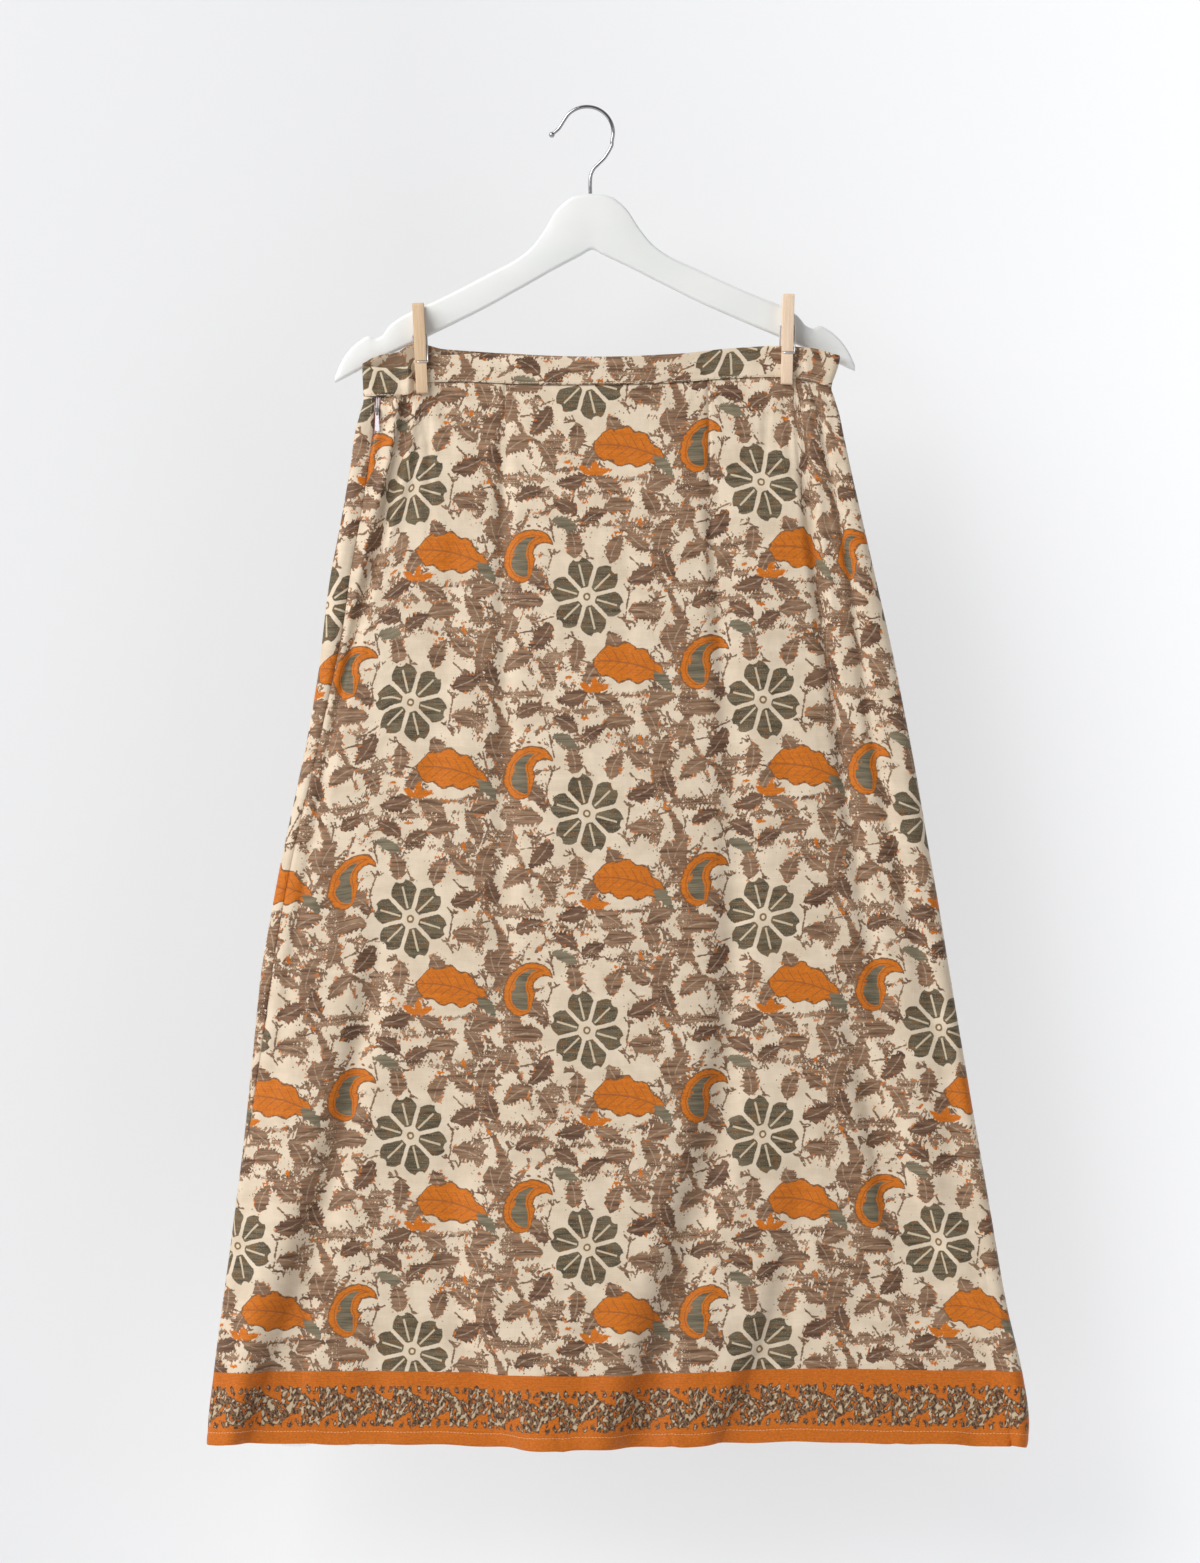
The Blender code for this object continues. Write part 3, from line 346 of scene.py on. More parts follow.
def cloth(angle, down, band=None):
    """Points in the middle of the cloth wall, in millimetres; see the CAD source."""
    angle = np.asarray(angle, float) % (2.0 * PI)
    down = np.asarray(down, float)
    front = angle <= PI
    share = 0.5 * (1.0 - np.cos(angle))
    seam = np.where(front, curve(FRONT_WAIST, share, 1), curve(BACK_WAIST, share, 1))
    if band is None:
        x0, x1 = float(curve(SILHOUETTE, HEM_Z, 1)), float(curve(SILHOUETTE, HEM_Z, 2))
        x_hem = x0 * (1 - share) + x1 * share
        drop = np.where(front, 2.4 * np.exp(-(((x_hem + 8.0) / 80.0) ** 2)) - 1.4 * np.exp(-(((x_hem - 190.0) / 60.0) ** 2)), 0.0)
        z = seam + (HEM_Z - drop - seam) * down
    else:
        top = np.where(front, curve(FRONT_WAIST, share, 2), curve(BACK_WAIST, share, 2))
        z = seam + (top - seam) * band
    left, right = curve(SILHOUETTE, z, 1), curve(SILHOUETTE, z, 2)
    x = left + (right - left) * share
    edge = curve(DEPTHS, z, 1)
    belly = np.where(front, curve(DEPTHS, z, 2), curve(DEPTHS, z, 3)) * np.sin(PI * share)
    open_up = ease((-236.0 - z) / 95.0)
    bh = band_half_depth(x)
    half = bh * (1.0 - open_up) + (edge + belly) * open_up
    radius = 1.35 * (bh * (1.0 - open_up) + edge * open_up)
    side = np.minimum(x - left, right - x)
    round_off = np.sqrt(np.maximum(0.0, 1.0 - (1.0 - np.minimum(1.0, side / radius)) ** 2))
    inside = ease((side - 2.0) / 26.0)
    relief = np.where(front, fold_relief(FRONT_FOLDS, x, z), fold_relief(BACK_FOLDS, x, z))
    forward = half * round_off + relief * inside * ease((-232.0 - z) / 40.0)
    y = curve(DEPTHS, z, 4) + np.where(front, -forward, forward)
    return np.stack([x, y, z], axis=-1)


STEPS = 1440


class Ring:
    """One level of the tube, measured along the cloth from the left fold."""

    def __init__(self, down, band=None):
        self.down, self.band = down, band
        turns = np.arange(2 * STEPS + 1) / STEPS
        self.angles = PI * (2.0 * turns - 0.5)
        p = cloth(self.angles, down, band)
        step = np.linalg.norm(np.diff(p, axis=0), axis=1)
        self.points = p
        self.lengths = np.concatenate([[0.0], np.cumsum(step)])
        self.total = self.lengths[STEPS]

    def length_at(self, angle):
        return np.interp(angle, self.angles, self.lengths)

    def angle_at(self, length):
        return np.interp(length, self.lengths, self.angles)

    def seam_angles(self):
        z_l = float(cloth(0.0, self.down)[2])
        z_r = float(cloth(PI, self.down)[2])
        wide_l = float(curve(SILHOUETTE, z_l, 2) - curve(SILHOUETTE, z_l, 1))
        wide_r = float(curve(SILHOUETTE, z_r, 2) - curve(SILHOUETTE, z_r, 1))
        inset_l, inset_r = float(curve(SIDE_SEAMS, z_l, 1)), float(curve(SIDE_SEAMS, z_r, 2))
        left = math.acos(1.0 - 2.0 * abs(inset_l) / wide_l) * (1 if inset_l >= 0 else -1)
        right = PI + math.acos(1.0 - 2.0 * inset_r / wide_r)
        return left, right


def gape(drop):
    if drop <= GAPE_FULL:
        return GAPE
    return GAPE * (1.0 - float(ease((drop - GAPE_FULL) / (GAPE_END - GAPE_FULL))))


def normals_of(grid):
    """Unit normals of a grid of points, rows running down and columns to the right."""
    across = np.gradient(grid, axis=1)
    along = np.gradient(grid, axis=0)
    n = np.cross(along, across)
    return n / np.maximum(1e-9, np.linalg.norm(n, axis=2, keepdims=True))


def creases(table, x, z):
    out = np.zeros_like(x)
    for _, track, w0, w1, d0, d1, fade0, fade1 in table:
        top, low = track[0][0], track[-1][0]
        t = np.clip((top - z) / (top - low), 0, 1)
        env = ease((top - z) / fade0 + (1.0 if fade0 < 1 else 0.0)) * ease((z - low) / fade1 if low > -1070 else 1.0)
        if low > -1070:
            env = ease((top - z) / fade0) * ease((z - low) / fade1)
        else:
            env = ease((top - z) / fade0)
        d = (x - curve(track, z, 1)) / (w0 + (w1 - w0) * t)
        depth = d0 + (d1 - d0) * t
        out -= env * depth * (np.exp(-d * d) - 0.32 * np.exp(-((np.abs(d) - 2.1) ** 2)))
    return out


def puckers(table, x, z):
    out = np.zeros_like(x)
    for x0, z0, x1, z1, wide, depth in table:
        ux, uz = x1 - x0, z1 - z0
        size = math.hypot(ux, uz)
        t = ((x - x0) * ux + (z - z0) * uz) / size**2
        d = ((x - x0) * uz - (z - z0) * ux) / size / wide
        env = ease((t + 0.15) / 0.3) * ease((1.15 - t) / 0.5)
        out -= env * depth * (np.exp(-d * d) - 0.4 * np.exp(-((np.abs(d) - 1.9) ** 2)))
    return out


def slack(x, z, turn):
    """Low uneven billows of a soft cloth, a few tenths of a millimetre to one."""
    return (
        0.42 * np.sin(x / 31.0 + z / 170.0 + 1.3 + turn) * np.sin(z / 83.0 + x / 260.0 + 0.4 * turn)
        + 0.30 * np.sin(x / 17.0 - z / 105.0 + 2.1 * turn) * np.sin(z / 57.0 - x / 140.0 + 0.9)
        + 0.16 * np.sin(x / 9.5 + z / 64.0 + 0.7) * np.sin(z / 33.0 + x / 75.0 + turn)
    )


# ====================================================================== print
# The print is laid out in flat cloth: u to the right, q up, in millimetres.
# It repeats every REPEAT_W across and REPEAT_H up, each column dropped by half.
REPEAT_W, REPEAT_H = 142.0, 172.0
BORDER = 58.0  # plain-ground border above the hem line

# columns: u, q, turn in degrees, length, width, bend, ink
LEAVES = (
    # leaves around the big blossom
    (-43.0, 24.0, 132, 27, 13, 3.0, "taupe"),
    (-50.0, -3.0, 186, 28, 13, -3.0, "taupe"),
    (-38.0, -29.0, 232, 27, 13, 2.0, "brown"),
    (-10.0, -43.0, 262, 24, 12, 2.0, "taupe"),
    (25.0, -35.0, 306, 25, 12, -2.0, "taupe"),
    (46.0, -12.0, 342, 26, 13, 3.0, "taupe"),
    (45.0, 21.0, 26, 26, 13, -2.0, "brown"),
    (24.0, 41.0, 66, 24, 12, 2.5, "taupe"),
    (-12.0, 45.0, 100, 24, 12, -2.0, "taupe"),
    # leaves on the sprays
    (-66.0, 60.0, 60, 24, 12, 2.5, "taupe"),
    (-18.0, 74.0, 150, 22, 11, -2.0, "brown"),
    (6.0, 66.0, 30, 22, 11, 2.0, "brown"),
    (26.0, 74.0, 8, 26, 12, 2.0, "taupe"),
    (50.0, 77.0, 118, 24, 12, -2.0, "taupe"),
    (62.0, 52.0, 70, 25, 12, 2.0, "taupe"),
    (66.0, 28.0, 108, 22, 11, 2.0, "brown"),
    (-64.0, -22.0, 250, 23, 11, 2.0, "taupe"),
    (-56.0, -50.0, 214, 25, 12, -2.5, "taupe"),
    (-32.0, -58.0, 300, 24, 11, 2.0, "taupe"),
    (-12.0, -76.0, 196, 25, 12, 2.0, "brown"),
    (4.0, -60.0, 240, 22, 11, -2.0, "taupe"),
    (18.0, -82.0, 330, 24, 11, 2.0, "taupe"),
    (60.0, -80.0, 20, 24, 12, 2.0, "taupe"),
    (68.0, -32.0, 286, 24, 12, -2.0, "taupe"),
    (-46.0, 84.0, 20, 23, 11, 2.0, "brown"),
    (-66.0, 25.0, 216, 22, 10, 2.0, "taupe"),
    (42.0, 47.0, 140, 22, 10, 2.0, "taupe"),
    (-34.0, 12.0, 170, 17, 8, 1.5, "brown"),
)
# Sprays: a stem that bends through three points and carries the leaves.
# columns: u, q of the start, the bend and the end, width at start and end
STEMS = (
    (-71.0, 40.0, -58.0, 44.0, -46.0, 72.0, 6.4, 3.0),
    (-71.0, 40.0, -52.0, 30.0, -30.0, 38.0, 5.4, 2.4),
    (-66.0, -20.0, -52.0, -30.0, -44.0, -60.0, 6.2, 2.8),
    (-52.0, -40.0, -34.0, -52.0, -6.0, -56.0, 5.0, 2.4),
    (74.0, 10.0, 60.0, 26.0, 56.0, 60.0, 6.0, 2.8),
    (66.0, 40.0, 44.0, 56.0, 14.0, 60.0, 5.4, 2.4),
    (76.0, -40.0, 66.0, -52.0, 44.0, -80.0, 6.2, 2.8),
    (58.0, -70.0, 30.0, -80.0, 4.0, -72.0, 5.0, 2.4),
    (-40.0, 66.0, -24.0, 78.0, -2.0, 88.0, 5.0, 2.4),
)
# Ragged masses of foliage and streaks of ground.
# columns: u, q, turn, length, height, ink
MASSES = (
    (-26.0, -45.0, 12, 24, 9),
    (55.0, -8.0, 86, 30, 11),
    (-4.0, 61.0, 4, 40, 5),
    (40.0, 60.0, -6, 30, 8),
    (-58.0, -76.0, 4, 46, 8),
    (8.0, -87.0, 2, 50, 5),
    (-63.0, 6.0, 86, 30, 12),
    (66.0, 69.0, 6, 34, 7),
    (-32.0, 84.0, 0, 34, 5),
    (64.0, -52.0, 4, 30, 5),
    (-47.0, -14.0, 4, 26, 3),
    (-24.0, -68.0, -4, 28, 5),
    (58.0, 26.0, 88, 26, 5),
)


def in_repeat(u, q, cu, cq, turn=0.0):
    """Coordinates about the nearest copy of a motif centred at cu, cq."""
    col = np.round((u - cu) / REPEAT_W)
    du = u - cu - col * REPEAT_W
    dq = q - cq - (col % 2) * REPEAT_H / 2
    dq = dq - REPEAT_H * np.round(dq / REPEAT_H)
    if turn:
        a = math.radians(turn)
        return du * math.cos(a) + dq * math.sin(a), -du * math.sin(a) + dq * math.cos(a)
    return du, dq


def sd_oval(x, y, a, b):
    k1 = np.sqrt((x / a) ** 2 + (y / b) ** 2) + 1e-6
    k2 = np.sqrt((x / a**2) ** 2 + (y / b**2) ** 2) + 1e-6
    return k1 * (k1 - 1.0) / k2


def sd_leaf(x, y, length, width, bend):
    """Pointed leaf along x with a bent midrib, widest before its middle."""
    h = length / 2.0
    t = np.clip(x / h, -1.3, 1.3)
    y = y - bend * (1.0 - t * t)
    body = np.sign(1.0 - np.abs(t)) * np.abs(1.0 - t * t) ** 0.85 * (1.0 - 0.22 * t)
    return np.maximum((np.abs(y) - 0.5 * width * body) * 0.86, (np.abs(x) - h) * 0.9)


def sd_path(x, y, points):
    """Rounded stroke through points of (x, y, radius)."""
    out = np.full(x.shape, 99.0)
    for (x0, y0, r0), (x1, y1, r1) in zip(points, points[1:]):
        ex, ey = x1 - x0, y1 - y0
        t = np.clip(((x - x0) * ex + (y - y0) * ey) / (ex * ex + ey * ey), 0, 1)
        out = np.minimum(out, np.hypot(x - x0 - ex * t, y - y0 - ey * t) - (r0 + (r1 - r0) * t))
    return out


def bend_points(p0, p1, p2, r0, r1, count=7):
    pts = []
    for k in range(count + 1):
        t = k / count
        x = (1 - t) ** 2 * p0[0] + 2 * t * (1 - t) * p1[0] + t * t * p2[0]
        y = (1 - t) ** 2 * p0[1] + 2 * t * (1 - t) * p1[1] + t * t * p2[1]
        pts.append((x, y, r0 + (r1 - r0) * t))
    return pts


def twigs():
    """Short barbed twigs: (u, q) of both ends of each stroke, about its middle."""
    pick = np.random.default_rng(41)
    out = []
    for k in range(58):
        cu, cq = pick.uniform(-71, 71), pick.uniform(-86, 86)
        a = pick.uniform(0, 2 * PI)
        size = pick.uniform(9, 19)
        ex, ey = 0.5 * size * math.cos(a), 0.5 * size * math.sin(a)
        out.append((cu, cq, -ex, -ey, ex, ey))
        for side in (-1, 1):
            at = pick.uniform(-0.3, 0.7)
            b = a + side * pick.uniform(0.5, 0.95)
            far = pick.uniform(3.5, 7.0)
            x0, y0 = ex * at, ey * at
            out.append((cu, cq, x0, y0, x0 + far * math.cos(b), y0 + far * math.sin(b)))
    return out


def ink_fields(u, q):
    """Distances for each ink of the print, negative inside a shape."""
    ink = {k: np.full(u.shape, 9.0) for k in ("taupe", "brown", "mass", "olive", "fleck")}

    def put(name, d):
        ink[name] = np.minimum(ink[name], d)

    # the climbing stem, once a repeat
    du, dq = in_repeat(u, q, -70.0, 0.0)
    w = 2 * PI / REPEAT_H
    line = 13.0 * np.sin(w * dq + 0.6) + 4.5 * np.sin(2 * w * dq + 1.9)
    slope = w * (13.0 * np.cos(w * dq + 0.6) + 9.0 * np.cos(2 * w * dq + 1.9))
    put("taupe", (np.abs(du - line) / np.sqrt(1 + slope**2)) - (3.4 + 0.9 * np.sin(3 * w * dq + 0.4)))
    for u0, q0, u1, q1, u2, q2, w0, w1 in STEMS:
        du, dq = in_repeat(u, q, u1, q1)
        pts = bend_points((u0 - u1, q0 - q1), (0.0, 0.0), (u2 - u1, q2 - q1), w0 / 2, w1 / 2)
        put("taupe", sd_path(du, dq, pts))
    rib, nearest, along = np.full(u.shape, 9.0), np.full(u.shape, 9.0), np.zeros(u.shape)
    for cu, cq, turn, length, width, bend, name in LEAVES:
        du, dq = in_repeat(u, q, cu, cq, turn)
        length, width = length * 1.10, width * 1.18
        d = sd_leaf(du, dq, length, width, bend)
        t = np.clip(2.0 * du / length, -1.3, 1.3)
        rib = np.where(d < nearest, dq - bend * (1.0 - t * t), rib)
        along = np.where(d < nearest, du / 3.0, along)
        nearest = np.minimum(nearest, d)
        put(name, d)
    for cu, cq, turn, length, height in MASSES:
        du, dq = in_repeat(u, q, cu, cq, turn)
        wob = 1.6 * np.sin(du / 3.1 + cu) + 1.2 * np.sin(du / 1.7 + dq / 2.3 + cq)
        put("mass", sd_oval(du, dq, length / 2, height / 2) + wob)
    put("olive", sd_leaf(*in_repeat(u, q, -18.0, 38.0 + 22.0, -24), 24, 10, 1.5))
    put("olive", sd_leaf(*in_repeat(u, q, 61.0, -66.0, -46), 24, 10, 1.5))
    # small sprig of three leaves, and single small leaves
    for turn, size in ((16, 17.0), (76, 14.0), (146, 15.0)):
        a = math.radians(turn)
        at = (5.0 + 0.46 * size * math.cos(a), -72.0 + 0.46 * size * math.sin(a))
        put("fleck", sd_leaf(*in_repeat(u, q, *at, turn), size, 6.0, 0.6))
    for cu, cq, turn in ((-58.0, 36.0, 60), (64.0, 8.0, 130), (-14.0, -62.0, 20), (44.0, 62.0, 100), (-2.0, 80.0, 170), (24.0, 52.0, 20)):
        put("fleck", sd_leaf(*in_repeat(u, q, cu, cq, turn), 10.5, 3.2, 1.4))
    # twigs: a signed distance across the stroke, and how far off it is
    cross, zone = np.full(u.shape, 9.0), np.full(u.shape, 9.0)
    for cu, cq, x0, y0, x1, y1 in twigs():
        du, dq = in_repeat(u, q, cu, cq)
        ex, ey = x1 - x0, y1 - y0
        size = math.hypot(ex, ey)
        t = np.clip(((du - x0) * ex + (dq - y0) * ey) / size**2, 0, 1)
        off = np.hypot(du - x0 - ex * t, dq - y0 - ey * t)
        side = ((dq - y0) * ex - (du - x0) * ey) / size
        cross = np.where(off < zone, side, cross)
        zone = np.minimum(zone, off)
    # the blossom's ground is left clear
    du, dq = in_repeat(u, q, 0.0, 3.0)
    clear = sd_oval(du, dq, 32.0, 33.0)
    for name in ("taupe", "brown", "mass", "fleck"):
        ink[name] = np.maximum(ink[name], -clear)
    zone = np.maximum(zone, -clear - 1.0)
    ink.update(rib=rib, along=along, twig=cross, zone=zone)
    return {k: np.clip(v, -7.0, 7.0) for k, v in ink.items()}


# ================================================================== materials
class S:
    """A shader value that can be used in formulas."""

    def __init__(self, tree, socket):
        self.t, self.s = tree, socket

    def op(self, kind, *others, clamp=False):
        node = self.t.nodes.new("ShaderNodeMath")
        node.operation = kind
        node.use_clamp = clamp
        for slot, v in zip(node.inputs, (self,) + others):
            if isinstance(v, S):
                self.t.links.new(v.s, slot)
            else:
                slot.default_value = v
        return S(self.t, node.outputs[0])

    def lift(self, v):
        if isinstance(v, S):
            return v
        node = self.t.nodes.new("ShaderNodeValue")
        node.outputs[0].default_value = v
        return S(self.t, node.outputs[0])

    def __add__(self, o): return self.op("ADD", o)
    def __radd__(self, o): return self.op("ADD", o)
    def __sub__(self, o): return self.op("SUBTRACT", o)
    def __rsub__(self, o): return self.lift(o).op("SUBTRACT", self)
    def __mul__(self, o): return self.op("MULTIPLY", o)
    def __rmul__(self, o): return self.op("MULTIPLY", o)
    def __truediv__(self, o): return self.op("DIVIDE", o)
    def __rtruediv__(self, o): return self.lift(o).op("DIVIDE", self)
    def __neg__(self): return self.op("MULTIPLY", -1.0)
    def abs(self): return self.op("ABSOLUTE")
    def sin(self): return self.op("SINE")
    def cos(self): return self.op("COSINE")
    def min(self, o): return self.op("MINIMUM", o)
    def max(self, o): return self.op("MAXIMUM", o)
    def sqrt(self): return self.op("SQRT")
    def floor(self): return self.op("FLOOR")
    def clip(self): return self.op("ADD", 0.0, clamp=True)
    def above(self, o): return self.op("GREATER_THAN", o)
    def power(self, o): return self.op("POWER", o)
    def wrap(self, period): return self.op("WRAP", 0.5 * period, -0.5 * period)
    def pingpong(self, half): return self.op("PINGPONG", half)

    def inside(self, soft):
        """1 where this signed distance is below 0, over a soft edge."""
        return self.op("MULTIPLY_ADD", -1.0 / soft, 0.5, clamp=True)

    def step(self, low, high):
        """Rises from 0 to 1 between low and high."""
        return self.op("MULTIPLY_ADD", 1.0 / (high - low), -low / (high - low), clamp=True)


def hypot(a, b):
    return (a * a + b * b).sqrt()


def atan2(a, b):
    return a.op("ARCTAN2", b)


class Paint:
    """A node material under construction."""

    def __init__(self, name):
        self.mat = bpy.data.materials.new(name)
        self.mat.use_nodes = True
        self.t = self.mat.node_tree
        self.bsdf = self.t.nodes["Principled BSDF"]

    def node(self, kind, **props):
        n = self.t.nodes.new(kind)
        for k, v in props.items():
            setattr(n, k, v)
        return n

    def attribute(self, name):
        n = self.node("ShaderNodeAttribute", attribute_name=name)
        sep = self.node("ShaderNodeSeparateXYZ")
        self.t.links.new(n.outputs["Vector"], sep.inputs[0])
        return [S(self.t, s) for s in sep.outputs]

    def flat(self):
        """Cloth coordinates in millimetres: to the right, and up."""
        uv = self.node("ShaderNodeUVMap", uv_map="flat")
        sep = self.node("ShaderNodeSeparateXYZ")
        self.t.links.new(uv.outputs[0], sep.inputs[0])
        return S(self.t, sep.outputs[0]) * 1000.0, S(self.t, sep.outputs[1]) * 1000.0

    def place(self):
        """Object coordinates in millimetres."""
        tc = self.node("ShaderNodeTexCoord")
        sep = self.node("ShaderNodeSeparateXYZ")
        self.t.links.new(tc.outputs["Object"], sep.inputs[0])
        return [S(self.t, s) * 1000.0 for s in sep.outputs]

    def vec(self, x, y, z=0.0):
        n = self.node("ShaderNodeCombineXYZ")
        for slot, v in zip(n.inputs, (x, y, z)):
            if isinstance(v, S):
                self.t.links.new(v.s, slot)
            else:
                slot.default_value = v
        return n.outputs[0]

    def noise(self, vec, scale, detail=1.0, rough=0.5, dims="2D"):
        n = self.node("ShaderNodeTexNoise", noise_dimensions=dims)
        self.t.links.new(vec, n.inputs["Vector"])
        n.inputs["Scale"].default_value = scale
        n.inputs["Detail"].default_value = detail
        n.inputs["Roughness"].default_value = rough
        return S(self.t, n.outputs[0])

    def cells(self, vec, scale):
        """Distance to the nearest of scattered points, and a random number for it."""
        n = self.node("ShaderNodeTexVoronoi", voronoi_dimensions="2D")
        self.t.links.new(vec, n.inputs["Vector"])
        n.inputs["Scale"].default_value = scale
        sep = self.node("ShaderNodeSeparateColor")
        self.t.links.new(n.outputs["Color"], sep.inputs[0])
        return S(self.t, n.outputs["Distance"]), S(self.t, sep.outputs[0])

    def mix(self, fac, a, b):
        n = self.node("ShaderNodeMix", data_type="RGBA")
        for slot, v in ((n.inputs[0], fac), (n.inputs[6], a), (n.inputs[7], b)):
            if isinstance(v, S):
                self.t.links.new(v.s, slot)
            elif isinstance(v, bpy.types.NodeSocket):
                self.t.links.new(v, slot)
            else:
                slot.default_value = v if isinstance(v, float) else (*v, 1.0)
        return n.outputs[2]

    def scale_colour(self, colour, fac):
        """Colour times a number."""
        n = self.node("ShaderNodeVectorMath", operation="SCALE")
        self.t.links.new(colour, n.inputs[0])
        self.t.links.new(fac.s, n.inputs["Scale"])
        return n.outputs[0]

    def bump(self, height, strength=1.0, distance=0.001):
        n = self.node("ShaderNodeBump")
        n.inputs["Strength"].default_value = strength
        n.inputs["Distance"].default_value = distance
        self.t.links.new(height.s, n.inputs["Height"])
        self.t.links.new(n.outputs[0], self.bsdf.inputs["Normal"])

    def set(self, **values):
        for k, v in values.items():
            self.bsdf.inputs[k.replace("_", " ")].default_value = v

    def feed(self, name, socket):
        self.t.links.new(socket.s if isinstance(socket, S) else socket, self.bsdf.inputs[name])


LIGHT = 0.92  # what the studio light makes of a white in the picture


def rgb(r, g, b, gain=1.0):
    """Surface colour that shows as this 8-bit colour under the studio light."""
    out = []
    for c in (r, g, b):
        c = c / 255.0
        lin = c / 12.92 if c <= 0.04045 else ((c + 0.055) / 1.055) ** 2.4
        out.append(min(0.95, lin * gain / LIGHT))
    return tuple(out)


def weave(p, u, q, strength, slub):
    """Height in millimetres of a fine plain weave with thicker weft threads."""
    warp = (u * (2 * PI / 0.42)).sin()
    weft = (q * (2 * PI / 0.36)).sin()
    return (warp * 0.012 + weft * 0.016) * strength + slub * 0.05


def about(u, q, cu, cq, turn=0.0):
    """Local coordinates about the nearest copy of a motif."""
    col = ((u - cu) / REPEAT_W + 0.5).floor()
    du = (u - cu) - col * REPEAT_W
    drop = (col * 0.5 - (col * 0.5).floor()) * REPEAT_H
    dq = ((q - cq) - drop).wrap(REPEAT_H)
    if turn:
        a = math.radians(turn)
        return du * math.cos(a) + dq * math.sin(a), dq * math.cos(a) - du * math.sin(a)
    return du, dq


